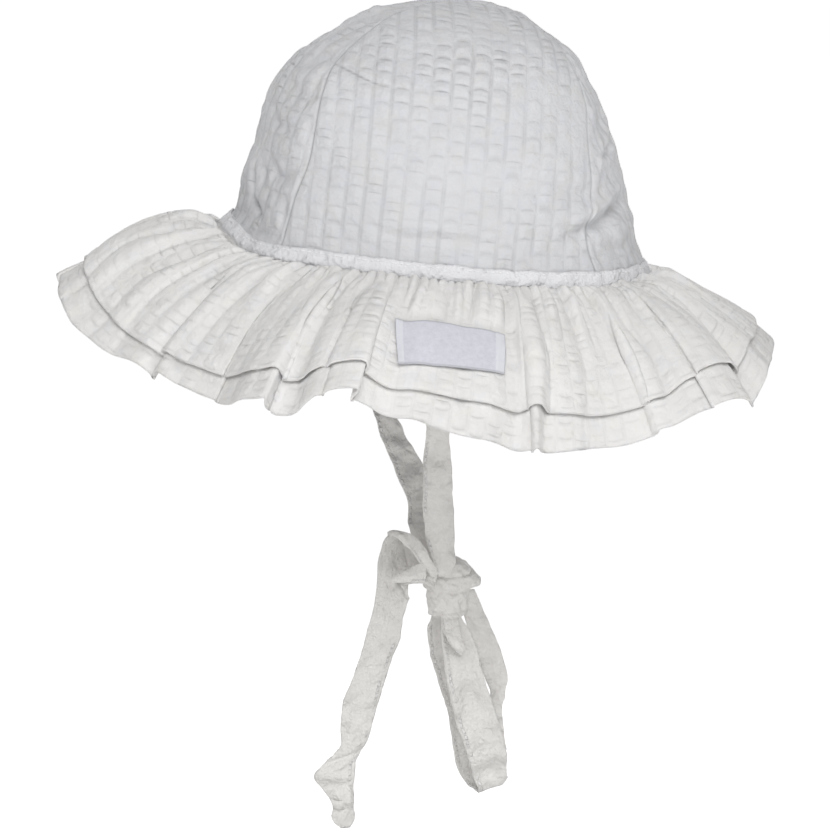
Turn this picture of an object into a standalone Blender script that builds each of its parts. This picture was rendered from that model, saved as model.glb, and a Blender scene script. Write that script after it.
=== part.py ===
"""Sun hat of seersucker cotton: a crown of four gores, a narrow binding, two gathered ruffles as a brim,
a woven label, and two cloth ties knotted below in a half bow with one long tail.

Metres, +Z up. The origin is the middle of the head opening, in the plane where crown and brim are sewn
together. The front of the hat looks along -Y and the wearer's left is +X. The hat leans back on the head,
and its ties hang straight down. An angle round the hat is counted from the front, over the wearer's left.
"""

import math

import bpy
import numpy as np

# Driving sizes, in metres and degrees. STRAP_APART is a share of KNOT_DEPTH.
BAND_LENGTH = 0.1626
BAND_WIDTH = 0.1340
CROWN_HEIGHT = 0.0915
LEAN_DEG = 7.5
CROWN_WALL = 0.0012
SEAM_RIDGE = 0.0024
SEAM_SPREAD_DEG = 24.0
DENT_DEPTH = 0.0030
APEX_HOLE = 0.0016
BINDING_HEIGHT = 0.0042
BINDING_WALL = 0.0011
RUFFLE_WALL = 0.0011
LOWER_DEPTH = 0.0690
UPPER_DEPTH = 0.0555
HEM_GAP = 0.0022
BRIM_ARCH_DEG = 30.0
LABEL_LENGTH = 0.0385
LABEL_HEIGHT = 0.0190
LABEL_WALL = 0.0010
LABEL_MIDDLE_DEG = 84.0
LABEL_DROP = 0.0275
TIE_WIDTH = 0.0150
TIE_WALL = 0.0013
TIE_ANGLE_DEG = 76.0
TIE_SEWN = 0.0050
KNOT_WIDTH = 0.0205
KNOT_DEPTH = 0.0150
KNOT_HEIGHT = 0.0215
KNOT_DROP = 0.1380
KNOT_BACK = 0.0055
STRAP_APART = 0.16
TAIL_DROP = 0.0970
TAIL_REACH = 0.0310
LOOP_DROP = 0.0660
LOOP_REACH = 0.0140
LOOP_OPENING = 0.0160
CLEARANCE = 0.0003

# How finely the cloth is divided. Each gore has as many columns as the binding over it.
GORE_COLUMNS = 14
GORE_ROWS = 9
RUFFLE_COLUMNS = 160
RUFFLE_ROWS = 4
LABEL_COLUMNS = 10
LABEL_ROWS = 3
KNOT_SIDES = 16

# Crown outline. A row is one level: height as a share of CROWN_HEIGHT, then the reach from the middle to the
# front and to the back as shares of half BAND_LENGTH, and to each side as a share of half BAND_WIDTH.
#         height  front   back    side
CROWN_LEVELS = (
    (0.000, 0.965, 1.000, 1.000),
    (0.040, 0.915, 0.972, 0.985),
    (0.100, 0.900, 0.937, 0.965),
    (0.210, 0.890, 0.884, 0.940),
    (0.330, 0.858, 0.832, 0.905),
    (0.450, 0.840, 0.771, 0.865),
    (0.560, 0.811, 0.716, 0.815),
    (0.660, 0.755, 0.664, 0.755),
    (0.750, 0.652, 0.600, 0.675),
    (0.830, 0.545, 0.522, 0.575),
    (0.900, 0.430, 0.410, 0.450),
    (0.960, 0.250, 0.255, 0.275),
    (1.000, 0.000, 0.000, 0.000),
)

# Gore seams on the wearer's left, mirrored on the right. A row is one level: height as a share of
# CROWN_HEIGHT, then the angles of the front seam and the back seam.
#         height  front   back
SEAM_LEVELS = (
    (0.00, 35.0, 126.0),
    (0.20, 34.5, 124.5),
    (0.32, 34.5, 128.5),
    (0.52, 34.0, 131.0),
    (0.70, 30.5, 137.0),
    (0.85, 29.5, 142.0),
    (1.00, 31.0, 144.0),
)

# Soft dents of the crown, one row each: the angle and the height of the middle as a share of CROWN_HEIGHT, the
# spread round the hat in degrees and up it as a share of CROWN_HEIGHT, and the depth as a share of DENT_DEPTH.
#         angle   height  round   up      depth
CROWN_DENTS = (
    (12.0, 0.16, 11.0, 0.12, 0.70),
    (141.0, 0.29, 16.0, 0.09, 1.00),
    (153.0, 0.38, 13.0, 0.08, 0.60),
    (118.0, 0.15, 14.0, 0.08, 0.50),
    (152.0, 0.55, 12.0, 0.12, 0.40),
    (70.0, 0.10, 18.0, 0.06, 0.30),
    (225.0, 0.28, 18.0, 0.10, 0.80),
    (300.0, 0.14, 16.0, 0.08, 0.50),
)

# Folds of the brim, one row for each crest, valley or edge, in order round the hat: the angle on the band where
# its line of cloth starts, how far that line sweeps round from straight out and how far it droops below the
# level of the band, in degrees, and the reach that curling leaves it as a share of the ruffle's depth.
#         band    sweep   droop   reach
BRIM_FOLDS = (
    (-4.0, -10.0, 23.0, 0.87),
    (5.0, -12.0, 30.0, 0.91),
    (12.0, -18.0, 36.0, 0.95),
    (22.0, -29.0, 44.0, 0.98),
    (31.0, -34.0, 49.0, 1.00),
    (33.5, -36.5, 53.0, 1.00),
    (37.0, -38.0, 50.0, 1.00),
    (41.0, -37.0, 54.0, 1.00),
    (47.0, -29.0, 56.0, 1.00),
    (53.0, -14.0, 47.0, 1.00),
    (55.5, -12.0, 43.0, 1.00),
    (58.3, -13.0, 50.5, 1.00),
    (61.0, -11.0, 48.5, 1.00),
    (63.5, -10.0, 43.5, 1.00),
    (65.5, -9.0, 37.5, 1.00),
    (68.0, -4.0, 34.5, 1.00),
    (70.0, -7.0, 41.5, 1.00),
    (75.0, -8.0, 46.5, 1.00),
    (79.0, -9.0, 45.5, 1.00),
    (84.0, -11.0, 46.5, 1.00),
    (92.0, -10.0, 48.5, 1.00),
    (97.5, -8.0, 52.5, 1.00),
    (100.5, -8.5, 46.0, 1.00),
    (103.5, -8.0, 51.0, 1.00),
    (107.0, -8.5, 52.0, 1.00),
    (114.0, -1.0, 51.0, 1.00),
    (118.0, 1.0, 47.5, 1.00),
    (122.0, -6.0, 41.0, 1.00),
    (125.0, -8.0, 39.0, 1.00),
    (130.0, -12.0, 30.0, 1.00),
    (136.0, -8.0, 25.0, 1.00),
    (139.0, -2.0, 31.0, 0.97),
    (142.0, 0.0, 24.0, 0.92),
    (146.0, -3.0, 21.0, 0.87),
    (155.0, -4.0, 22.0, 0.80),
    (164.0, 14.0, 18.0, 0.76),
    (176.0, 8.0, 29.0, 0.78),
    (188.0, -6.0, 23.0, 0.79),
    (199.0, 4.0, 32.0, 0.86),
    (210.0, 6.0, 25.0, 0.92),
    (220.0, 0.0, 37.0, 1.00),
    (229.0, 10.0, 32.0, 1.00),
    (238.0, 6.0, 46.0, 1.00),
    (247.0, 2.0, 42.0, 1.00),
    (256.0, 8.0, 53.0, 1.00),
    (264.0, 10.0, 45.0, 1.00),
    (273.0, 6.0, 53.0, 1.00),
    (282.0, 12.0, 44.0, 1.00),
    (291.0, 8.0, 52.0, 1.00),
    (299.0, 14.0, 43.0, 1.00),
    (308.0, 18.0, 53.0, 1.00),
    (317.0, 22.0, 44.0, 1.00),
    (326.0, 26.0, 49.0, 1.00),
    (335.0, 18.0, 36.0, 0.96),
    (346.0, 10.0, 28.0, 0.90),
)

# The knot, one row a section from the bottom up: height as a share of KNOT_HEIGHT, width and depth as shares
# of KNOT_WIDTH and KNOT_DEPTH, and the shift to the back as a share of KNOT_WIDTH.
#         height  width   depth   shift
KNOT_SECTIONS = (
    (0.00, 0.46, 0.50, -0.03),
    (0.05, 0.60, 0.68, -0.02),
    (0.24, 0.66, 0.84, -0.02),
    (0.40, 0.72, 0.88, 0.00),
    (0.47, 0.70, 0.84, 0.00),
    (0.52, 0.94, 0.98, 0.05),
    (0.60, 1.00, 1.00, 0.07),
    (0.72, 0.90, 0.94, 0.02),
    (0.90, 0.68, 0.80, -0.05),
    (1.00, 0.52, 0.62, -0.09),
)

# The two straps between hat and knot. A row is one station: the share of the way from the binding to the
# knot, the sag to the front of the left and of the right strap as shares of KNOT_DROP, and the width as a
# share of TIE_WIDTH.
#         way     left    right   width
STRAP_STATIONS = (
    (0.00, 0.000, 0.000, 0.80),
    (0.15, 0.000, 0.012, 0.80),
    (0.35, 0.010, 0.030, 0.76),
    (0.60, 0.016, 0.036, 0.74),
    (0.85, 0.012, 0.016, 0.72),
    (1.00, 0.000, 0.000, 0.62),
)

# The long tail. A row is one station: the way to the front as a share of TAIL_REACH and the way down as a
# share of TAIL_DROP, both from the knot's middle, the stand-off to the wearer's left as a share of KNOT_DEPTH,
# the direction in which the cloth faces, how far its width is tipped up, and the width as a share of TIE_WIDTH.
#         front   down    left    faces   tip     width
TAIL_STATIONS = (
    (0.290, -0.056, 0.25, 90.0, 46.0, 0.46),
    (0.42, -0.108, 0.30, 90.0, 62.0, 0.52),
    (0.56, -0.127, 0.33, 90.0, 88.0, 0.58),
    (0.69, -0.108, 0.35, 90.0, 120.0, 0.64),
    (0.77, -0.050, 0.36, 90.0, 155.0, 0.70),
    (0.80, 0.060, 0.36, 90.0, 182.0, 0.76),
    (0.83, 0.170, 0.34, 86.0, 188.0, 0.80),
    (0.95, 0.300, 0.32, 94.0, 192.0, 0.80),
    (1.09, 0.440, 0.30, 88.0, 192.0, 0.82),
    (1.21, 0.570, 0.28, 96.0, 192.0, 0.82),
    (1.31, 0.690, 0.26, 112.0, 188.0, 0.74),
    (1.39, 0.760, 0.24, 100.0, 186.0, 0.72),
    (1.45, 0.820, 0.22, 84.0, 180.0, 0.88),
    (1.39, 0.900, 0.22, 86.0, 170.0, 0.52),
    (1.37, 0.950, 0.22, 90.0, 180.0, 0.46),
    (1.37, 1.000, 0.22, 90.0, 180.0, 0.40),
)

# The loop of the bow: down at the front of the knot, round at the bottom and up again behind. A row is one
# station: the way to the back as a share of LOOP_REACH, the way down as a share of LOOP_DROP from the knot's
# underside, the stand-off to the left as a share of LOOP_OPENING, and facing, tip and width as above.
#         back    down    left    faces   tip     width
LOOP_STATIONS = (
    (0.22, 0.006, 0.20, 90.0, 0.0, 0.62),
    (0.24, 0.220, 0.46, 88.0, -6.0, 0.84),
    (0.54, 0.480, 0.52, 94.0, -12.0, 0.96),
    (0.84, 0.760, 0.54, 90.0, -14.0, 1.00),
    (1.00, 0.930, 0.42, 90.0, -16.0, 0.98),
    (1.06, 1.000, 0.05, 90.0, -16.0, 0.94),
    (1.00, 0.940, -0.38, 90.0, -16.0, 0.90),
    (0.78, 0.760, -0.54, 86.0, -12.0, 0.88),
    (0.48, 0.540, -0.54, 92.0, -10.0, 0.86),
    (0.18, 0.330, -0.52, 90.0, -4.0, 0.80),
    (0.04, 0.170, -0.46, 90.0, 0.0, 0.74),
    (0.08, 0.006, -0.20, 90.0, 0.0, 0.60),
)

# The short end beside the loop, with one twist in it, in the same columns as the loop.
#         back    down    left    faces   tip     width
END_STATIONS = (
    (0.74, -0.060, -0.06, 90.0, -14.0, 0.60),
    (0.96, 0.110, -0.06, 90.0, -16.0, 0.74),
    (1.26, 0.310, -0.06, 88.0, -14.0, 0.74),
    (1.42, 0.470, -0.06, 66.0, -8.0, 0.58),
    (1.36, 0.580, -0.06, 60.0, 0.0, 0.50),
    (1.30, 0.700, -0.06, 76.0, -6.0, 0.66),
    (1.34, 0.860, -0.05, 88.0, -10.0, 0.74),
)


def hermite(positions, values, slopes, at):
    """A cubic curve with these values and slopes at the positions, one column a quantity."""
    place = np.clip(np.searchsorted(positions, at, side="right") - 1, 0, len(positions) - 2)
    span = (positions[place + 1] - positions[place])[..., None]
    share = (at - positions[place])[..., None] / span
    rise = share * share * (3 - 2 * share)
    leave = share * (1 - share) ** 2 * slopes[place] * span
    arrive = share * share * (share - 1) * slopes[place + 1] * span
    return values[place] * (1 - rise) + values[place + 1] * rise + leave + arrive


def smooth(positions, values, at):
    """Values at new positions on a smooth curve through all the given points, one column a quantity."""
    positions = np.asarray(positions, float)
    values = np.asarray(values, float)
    return hermite(positions, values, np.gradient(values, positions, axis=0), at)


def leaned(points):
    """Points of the hat's own frame, turned about the X axis by the lean of the hat."""
    lean = math.radians(LEAN_DEG)
    turned = np.array(points, float)
    y = points[..., 1]
    z = points[..., 2]
    turned[..., 1] = y * math.cos(lean) + z * math.sin(lean)
    turned[..., 2] = z * math.cos(lean) - y * math.sin(lean)
    return turned


def band_point(angle):
    """The oval where crown and brim meet, at an angle in radians."""
    return np.stack((BAND_WIDTH / 2 * np.sin(angle), -BAND_LENGTH / 2 * np.cos(angle), 0 * angle), -1)


def band_outward(angle):
    """The level direction that points straight out of the oval."""
    out = np.stack((np.sin(angle) / BAND_WIDTH, -np.cos(angle) / BAND_LENGTH, 0 * angle), -1)
    return out / np.linalg.norm(out, axis=-1, keepdims=True)


def band_along(angle):
    """The level direction along the oval, towards growing angles."""
    out = band_outward(angle)
    return np.stack((-out[..., 1], out[..., 0], out[..., 2]), -1)


def seam_angles(height_share):
    """The four seam angles in radians at a height, in order round the hat."""
    rows = np.array(SEAM_LEVELS)
    front, back = np.moveaxis(np.radians(smooth(rows[:, 0], rows[:, 1:], height_share)), -1, 0)
    return np.stack((front, back, 2 * math.pi - back, 2 * math.pi - front), -1)


def dent_at(angle, height):
    """How far the crown's cloth falls in at an angle and height."""
    deep = 0.0 * angle
    for middle, level, around, tall, depth in CROWN_DENTS:
        off = (angle - math.radians(middle) + math.pi) % (2 * math.pi) - math.pi
        away = (off / math.radians(around)) ** 2 + ((height / CROWN_HEIGHT - level) / tall) ** 2
        deep = deep + DENT_DEPTH * depth * np.exp(-away)
    return deep


def crown_point(angle, climb, grow=0.0):
    """The outer face of the crown. Climb runs from 0 at the band to 1 at the top, evenly along the outline.

    Each gore is drawn up to its seams, so the wall stands out there by SEAM_RIDGE and falls away within
    SEAM_SPREAD_DEG. Grow moves the point straight out.
    """
    rows = np.array(CROWN_LEVELS)
    half = np.array((CROWN_HEIGHT, BAND_LENGTH / 2, BAND_LENGTH / 2, BAND_WIDTH / 2))
    sizes = rows * half
    steps = np.hypot(np.diff(sizes[:, 0]), np.diff(sizes[:, 1:].mean(axis=1)))
    way = np.concatenate(((0.0,), np.cumsum(steps)))
    level = smooth(way / way[-1], sizes, climb)
    height, front, back, side = np.moveaxis(level, -1, 0)
    seams = seam_angles(np.clip(height / CROWN_HEIGHT, 0, 1))
    off = np.abs((seams - angle[..., None] + math.pi) % (2 * math.pi) - math.pi).min(axis=-1)
    fade = np.clip(side / (BAND_WIDTH / 2), 0, 1)
    ridge = SEAM_RIDGE * fade * (np.exp(-off / math.radians(SEAM_SPREAD_DEG)) - 0.3)
    reach = np.where(np.cos(angle) > 0, front, back)
    point = np.stack((side * np.sin(angle), -reach * np.cos(angle), height), -1)
    return point + band_outward(angle) * (ridge - dent_at(angle, height) + grow)[..., None]


def climb_at(height):
    """The climb at which the crown's outline reaches a height."""
    climbs = np.linspace(0, 1, 400)
    heights = crown_point(np.full(400, math.pi / 2), climbs)[:, 2]
    return float(np.interp(height, heights, climbs))


def fold_at(angle):
    """Sweep, droop and reach of the cloth line that starts at an angle, level at each crest and valley."""
    rows = np.array(BRIM_FOLDS)
    rows[:, :3] = np.radians(rows[:, :3])
    turn = np.array((2 * math.pi, 0.0, 0.0, 0.0))
    rows = np.concatenate((rows[-2:] - turn, rows, rows[:2] + turn))
    steps = np.diff(rows[:, 1:], axis=0) / np.diff(rows[:, :1], axis=0)
    before = steps[:-1]
    after = steps[1:]
    same = before * after > 0
    slopes = np.zeros_like(rows[:, 1:])
    slopes[1:-1][same] = 2 * before[same] * after[same] / (before[same] + after[same])
    first = rows[0, 0]
    angle = (angle - first) % (2 * math.pi) + first
    fold = hermite(rows[:, 0], rows[:, 1:], slopes, angle)
    return fold[..., 0], fold[..., 1], fold[..., 2]


def brim_surface(angle, run):
    """The face between the two ruffles, run metres down the cloth line from the band.

    A cloth line is an arc in an upright plane: it leaves the band less steeply than its droop, by half of
    BRIM_ARCH_DEG, and ends as much steeper at the lower ruffle's hem. It starts low enough for the upper
    ruffle to pass under the crown.
    """
    sweep, droop, reach = fold_at(angle)
    arch = math.radians(BRIM_ARCH_DEG)
    radius = reach * LOWER_DEPTH / arch
    start = droop - arch / 2
    end = start + arch * run / LOWER_DEPTH
    out = radius * (np.sin(end) - np.sin(start))
    down = radius * (np.cos(start) - np.cos(end))
    level = np.cos(sweep)[..., None] * band_outward(angle) + np.sin(sweep)[..., None] * band_along(angle)
    below = down + RUFFLE_WALL + CLEARANCE
    return band_point(angle) + out[..., None] * level - below[..., None] * np.array((0.0, 0.0, 1.0))


def brim_normal(angle, run):
    """The direction square to that face, up and out."""
    small = math.radians(0.2)
    step = LOWER_DEPTH / 200
    along = brim_surface(angle + small, run) - brim_surface(angle - small, run)
    down = brim_surface(angle, run + step) - brim_surface(angle, np.maximum(run - step, 0.0))
    normal = np.cross(down, along)
    return normal / np.linalg.norm(normal, axis=-1, keepdims=True)


def ruffle_point(angle, run, side, off=0.0):
    """The middle of a ruffle's wall, side 1 for the upper ruffle and -1 for the lower, moved out by off."""
    apart = (RUFFLE_WALL + 2 * CLEARANCE) / 2 + HEM_GAP / 2 * run / LOWER_DEPTH
    return brim_surface(angle, run) + brim_normal(angle, run) * (side * apart + off)[..., None]


def hem_angles(columns):
    """Band angles whose cloth lines end evenly spaced along the lower hem."""
    fine = np.linspace(0, 2 * math.pi, 4001)
    hem = brim_surface(fine, LOWER_DEPTH + 0 * fine)
    way = np.concatenate(((0.0,), np.cumsum(np.linalg.norm(np.diff(hem, axis=0), axis=-1))))
    return np.interp(np.linspace(0, way[-1], columns, endpoint=False), way, fine)


def material(name, colour, roughness):
    """A plain cloth material."""
    made = bpy.data.materials.new(name)
    made.use_nodes = True
    shader = made.node_tree.nodes["Principled BSDF"]
    shader.inputs["Base Color"].default_value = (*colour, 1.0)
    shader.inputs["Roughness"].default_value = roughness
    shader.inputs["Metallic"].default_value = 0.0
    return made


def grid_faces(rows, columns, closed):
    """Four-sided faces between the points of a grid, closed round its columns or open."""
    index = np.arange(rows * columns).reshape(rows, columns)
    if closed:
        index = np.concatenate((index, index[:, :1]), axis=1)
    corners = (index[:-1, :-1], index[:-1, 1:], index[1:, 1:], index[1:, :-1])
    return np.stack([corner.ravel() for corner in corners], -1).tolist()


def add_object(name, points, faces, finish, collection):
    """A smooth mesh object in the collection."""
    mesh = bpy.data.meshes.new(name)
    mesh.from_pydata(np.asarray(points).reshape(-1, 3).tolist(), [], faces)
    mesh.materials.append(finish)
    mesh.shade_smooth()
    made = bpy.data.objects.new(name, mesh)
    collection.objects.link(made)
    return made


def add_cloth(name, points, closed, wall, side, finish, collection):
    """A grid of points made a wall of cloth. Side -1 puts the wall behind the points, 0 on both sides."""
    faces = grid_faces(points.shape[0], points.shape[1], closed)
    made = add_object(name, points, faces, finish, collection)
    thick = made.modifiers.new("wall", "SOLIDIFY")
    thick.thickness = wall
    thick.offset = side
    thick.use_even_offset = False
    return made


def binding_climbs():
    """The climbs of the binding's foot, middle and top, which the gores share."""
    return [climb_at(height) for height in (CLEARANCE, BINDING_HEIGHT / 2, BINDING_HEIGHT)]


def add_gore(name, first, last, finish, collection):
    """One gore of the crown, between two seams given by their place in seam_angles."""
    top = 1.0 - APEX_HOLE / (BAND_WIDTH / 2)
    under = binding_climbs()
    climb = np.concatenate((under[:-1], np.linspace(under[-1], top, GORE_ROWS)))[:, None]
    middle = crown_point(0 * climb + math.pi / 2, climb)
    seams = seam_angles(np.clip(middle[:, 0, 2] / CROWN_HEIGHT, 0, 1))
    start = seams[:, first % 4] - (2 * math.pi if first < 0 else 0.0)
    end = seams[:, last % 4]
    radius = np.linalg.norm(middle[:, 0, :2], axis=-1)
    inset = CLEARANCE / radius
    share = np.linspace(0, 1, GORE_COLUMNS + 1)[None, :]
    angle = (start + inset)[:, None] * (1 - share) + (end - inset)[:, None] * share
    points = leaned(crown_point(angle, climb + 0 * share))
    return add_cloth(name, points, False, CROWN_WALL, -1, finish, collection)


def add_binding(finish, collection):
    """The topstitched strip round the foot of the crown, just clear of the gores."""
    climb = np.array(binding_climbs())[:, None]
    seams = seam_angles(np.array(0.0))
    ends = np.append(seams, seams[0] + 2 * math.pi)
    share = np.linspace(0, 1, GORE_COLUMNS, endpoint=False)
    angle = np.concatenate([start * (1 - share) + end * share for start, end in zip(ends, ends[1:])])[None, :]
    points = leaned(crown_point(angle + 0 * climb, climb + 0 * angle, CLEARANCE + 0 * (angle + climb)))
    return add_cloth("crown_binding", points, True, BINDING_WALL, 1, finish, collection)


def add_ruffle(name, side, depth, finish, collection):
    """One gathered ruffle, from just under the binding to its hem."""
    angle = hem_angles(RUFFLE_COLUMNS)[None, :]
    run = np.linspace(depth, 2 * CLEARANCE, RUFFLE_ROWS + 1)[:, None]
    points = leaned(ruffle_point(angle + 0 * run, run + 0 * angle, side))
    return add_cloth(name, points, True, RUFFLE_WALL, 0, finish, collection)


def add_label(finish, collection):
    """The woven label, lying on the upper ruffle and following its folds."""
    middle = math.radians(LABEL_MIDDLE_DEG)
    run = np.linspace(LABEL_DROP + LABEL_HEIGHT, LABEL_DROP, LABEL_ROWS + 1)[:, None]
    nearby = np.array((middle - 0.1, middle + 0.1))
    ends = ruffle_point(nearby, 0 * nearby + LABEL_DROP + LABEL_HEIGHT / 2, 1)
    half = LABEL_LENGTH / 2 * (nearby[1] - nearby[0]) / np.linalg.norm(ends[1] - ends[0])
    angle = middle + np.linspace(-half, half, LABEL_COLUMNS + 1)[None, :]
    off = RUFFLE_WALL / 2 + 2 * CLEARANCE
    points = leaned(ruffle_point(angle + 0 * run, run + 0 * angle, 1, off + 0 * run))
    return add_cloth("label", points, False, LABEL_WALL, 1, finish, collection)


def ribbon_points(centres, faces_deg, tips_deg, widths, columns):
    """A grid of points along a ribbon: its middle line, facing, tip of the width and width at each station."""
    path = np.gradient(centres, axis=0)
    path /= np.linalg.norm(path, axis=-1, keepdims=True)
    facing = np.radians(faces_deg)
    tip = np.radians(tips_deg)
    across = np.stack((np.cos(facing) * np.cos(tip), np.sin(facing) * np.cos(tip), np.sin(tip)), -1)
    across -= (across * path).sum(axis=-1, keepdims=True) * path
    across /= np.linalg.norm(across, axis=-1, keepdims=True)
    share = np.linspace(-0.5, 0.5, columns + 1)
    return centres[:, None, :] + across[:, None, :] * widths[:, None, None] * share[None, :, None]


def add_ribbon(name, centres, faces_deg, tips_deg, widths, steps, finish, collection):
    """A ribbon of cloth through its stations, divided evenly along its length."""
    way = np.concatenate(((0.0,), np.cumsum(np.linalg.norm(np.diff(centres, axis=0), axis=-1))))
    table = np.column_stack((centres, faces_deg, tips_deg, widths))
    fine = smooth(way, table, np.linspace(0, way[-1], steps + 1))
    points = ribbon_points(fine[:, :3], fine[:, 3], fine[:, 4], fine[:, 5], 2)
    return add_cloth(name, points, False, TIE_WALL, 0, finish, collection)


def knot_top():
    """The middle of the knot's upper face."""
    shift = KNOT_SECTIONS[-1][3] * KNOT_WIDTH
    return np.array((0.0, KNOT_BACK + shift, -KNOT_DROP + KNOT_HEIGHT))


def add_strap(name, side, finish, collection):
    """The strap on one side: sewn flat inside the crown's foot, then straight to its half of the knot's top.

    Side is 1 for the wearer's left and -1 for the right.
    """
    angle = np.array(math.radians(TIE_ANGLE_DEG))
    inside = CROWN_WALL + TIE_WALL / 2 + 3 * CLEARANCE
    mirror = np.array((side, 1.0, 1.0))
    sewn = crown_point(side * angle, np.array(climb_at(TIE_SEWN)), np.array(-inside))
    rim = (band_point(angle) - inside * band_outward(angle)) * mirror
    top = leaned(sewn)
    foot = leaned(rim - np.array((0.0, 0.0, TIE_SEWN / 2)))
    rows = np.array(STRAP_STATIONS)
    end = knot_top() + np.array((side * KNOT_DEPTH * STRAP_APART, 0.0, 0.0))
    way = rows[:, 0:1]
    sag = rows[:, 1 if side > 0 else 2] * KNOT_DROP
    line = foot * (1 - way) + end * way - sag[:, None] * np.array((0.0, 1.0, 0.0))
    widths = np.concatenate((rows[:1, 3], rows[:, 3])) * TIE_WIDTH
    last = line[-1] - line[-2]
    lift = TIE_WALL / 2 + CLEARANCE + widths[-1] / 2 * abs(last[1]) / np.linalg.norm(last)
    centres = np.vstack((top[None, :], line + way * np.array((0.0, 0.0, lift))))
    start_faces = side * TIE_ANGLE_DEG
    faces = np.concatenate(((start_faces,), start_faces + (side * 90.0 - start_faces) * rows[:, 0]))
    return add_ribbon(name, centres, faces, 0 * widths, widths, 12, finish, collection)


def add_knot(finish, collection):
    """The knot: rounded sections one above the other, closed at both ends."""
    rows = np.array(KNOT_SECTIONS)
    turn = np.linspace(0, 2 * math.pi, KNOT_SIDES, endpoint=False)[None, :]
    height, width, depth, shift = (rows[:, column, None] for column in range(4))
    x = KNOT_DEPTH / 2 * depth * np.cos(turn)
    y = KNOT_BACK + KNOT_WIDTH * (width / 2 * np.sin(turn) + shift)
    z = -KNOT_DROP + KNOT_HEIGHT * height + 0 * turn
    points = np.stack((x, y, z), -1)
    faces = grid_faces(len(rows), KNOT_SIDES, True)
    last = (len(rows) - 1) * KNOT_SIDES
    faces.append(list(range(KNOT_SIDES))[::-1])
    faces.append(list(range(last, last + KNOT_SIDES)))
    return add_object("knot", points, faces, finish, collection)


def add_tail(finish, collection):
    """The long tail, from the front of the knot up, over and down to its narrow end."""
    rows = np.array(TAIL_STATIONS)
    middle = -KNOT_DROP + KNOT_HEIGHT * 0.6
    x = rows[:, 2] * KNOT_DEPTH
    y = KNOT_BACK - rows[:, 0] * TAIL_REACH
    z = middle - rows[:, 1] * TAIL_DROP
    centres = np.stack((x, y, z), -1)
    return add_ribbon("tie_tail", centres, rows[:, 3], rows[:, 4], rows[:, 5] * TIE_WIDTH, 34, finish, collection)


def add_bow(name, stations, steps, finish, collection):
    """A stretch of the bow below the knot, from its table."""
    rows = np.array(stations)
    x = rows[:, 2] * LOOP_OPENING
    y = KNOT_BACK + rows[:, 0] * LOOP_REACH
    z = -KNOT_DROP - CLEARANCE - rows[:, 1] * LOOP_DROP
    centres = np.stack((x, y, z), -1)
    return add_ribbon(name, centres, rows[:, 3], rows[:, 4], rows[:, 5] * TIE_WIDTH, steps, finish, collection)


def main():
    for old in list(bpy.data.objects):
        bpy.data.objects.remove(old)
    hat = bpy.data.collections.new("sun_hat")
    bpy.context.scene.collection.children.link(hat)
    crown = material("crown_seersucker", (0.80, 0.80, 0.81), 0.90)
    brim = material("brim_seersucker", (0.82, 0.815, 0.80), 0.90)
    strip = material("binding_cotton", (0.84, 0.84, 0.84), 0.85)
    ribbon = material("tie_cotton", (0.80, 0.79, 0.77), 0.88)
    woven = material("label_weave", (0.56, 0.56, 0.60), 0.70)
    add_gore("crown_front", -1, 0, crown, hat)
    add_gore("crown_left", 0, 1, crown, hat)
    add_gore("crown_back", 1, 2, crown, hat)
    add_gore("crown_right", 2, 3, crown, hat)
    add_binding(strip, hat)
    add_ruffle("ruffle_upper", 1, UPPER_DEPTH, brim, hat)
    add_ruffle("ruffle_lower", -1, LOWER_DEPTH, brim, hat)
    add_label(woven, hat)
    add_strap("tie_left", 1, ribbon, hat)
    add_strap("tie_right", -1, ribbon, hat)
    add_knot(ribbon, hat)
    add_tail(ribbon, hat)
    add_bow("bow_loop", LOOP_STATIONS, 30, ribbon, hat)
    add_bow("tie_end", END_STATIONS, 14, ribbon, hat)


main()
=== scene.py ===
"""Sun hat of seersucker cotton: two gathered ruffles, a plain label, and ties knotted below in a half bow.

Metres, +Z up. The origin is the middle of the head opening, -Y is the front and +X the wearer's left. The hat
leans back about X. An angle round the hat is counted from the front, over the wearer's left.
"""

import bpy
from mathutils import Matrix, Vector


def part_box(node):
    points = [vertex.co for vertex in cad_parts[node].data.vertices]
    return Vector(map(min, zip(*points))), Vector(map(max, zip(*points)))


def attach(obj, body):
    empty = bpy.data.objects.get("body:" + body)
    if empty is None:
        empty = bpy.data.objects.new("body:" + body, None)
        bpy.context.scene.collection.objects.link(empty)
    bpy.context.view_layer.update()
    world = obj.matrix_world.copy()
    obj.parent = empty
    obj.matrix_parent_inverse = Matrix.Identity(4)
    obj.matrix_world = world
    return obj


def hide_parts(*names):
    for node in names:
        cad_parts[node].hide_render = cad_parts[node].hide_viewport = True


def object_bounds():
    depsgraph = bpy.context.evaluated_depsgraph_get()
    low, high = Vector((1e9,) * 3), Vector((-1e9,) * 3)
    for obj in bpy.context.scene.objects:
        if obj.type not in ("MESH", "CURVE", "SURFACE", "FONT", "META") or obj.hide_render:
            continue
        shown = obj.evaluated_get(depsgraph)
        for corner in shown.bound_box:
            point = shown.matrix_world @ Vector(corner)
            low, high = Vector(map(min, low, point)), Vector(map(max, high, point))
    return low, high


bl_info = {
    "name": "Sun hat",
    "version": (1, 0, 0),
    "blender": (4, 5, 0),
    "location": "View3D > Sidebar > Sun hat",
    "description": "Builds a seersucker sun hat with a double ruffle brim and knotted cloth ties",
    "category": "Add Mesh",
}

import math

import bpy
import numpy as np
from bpy.props import FloatProperty, FloatVectorProperty, IntProperty, PointerProperty
from mathutils import Matrix

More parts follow.
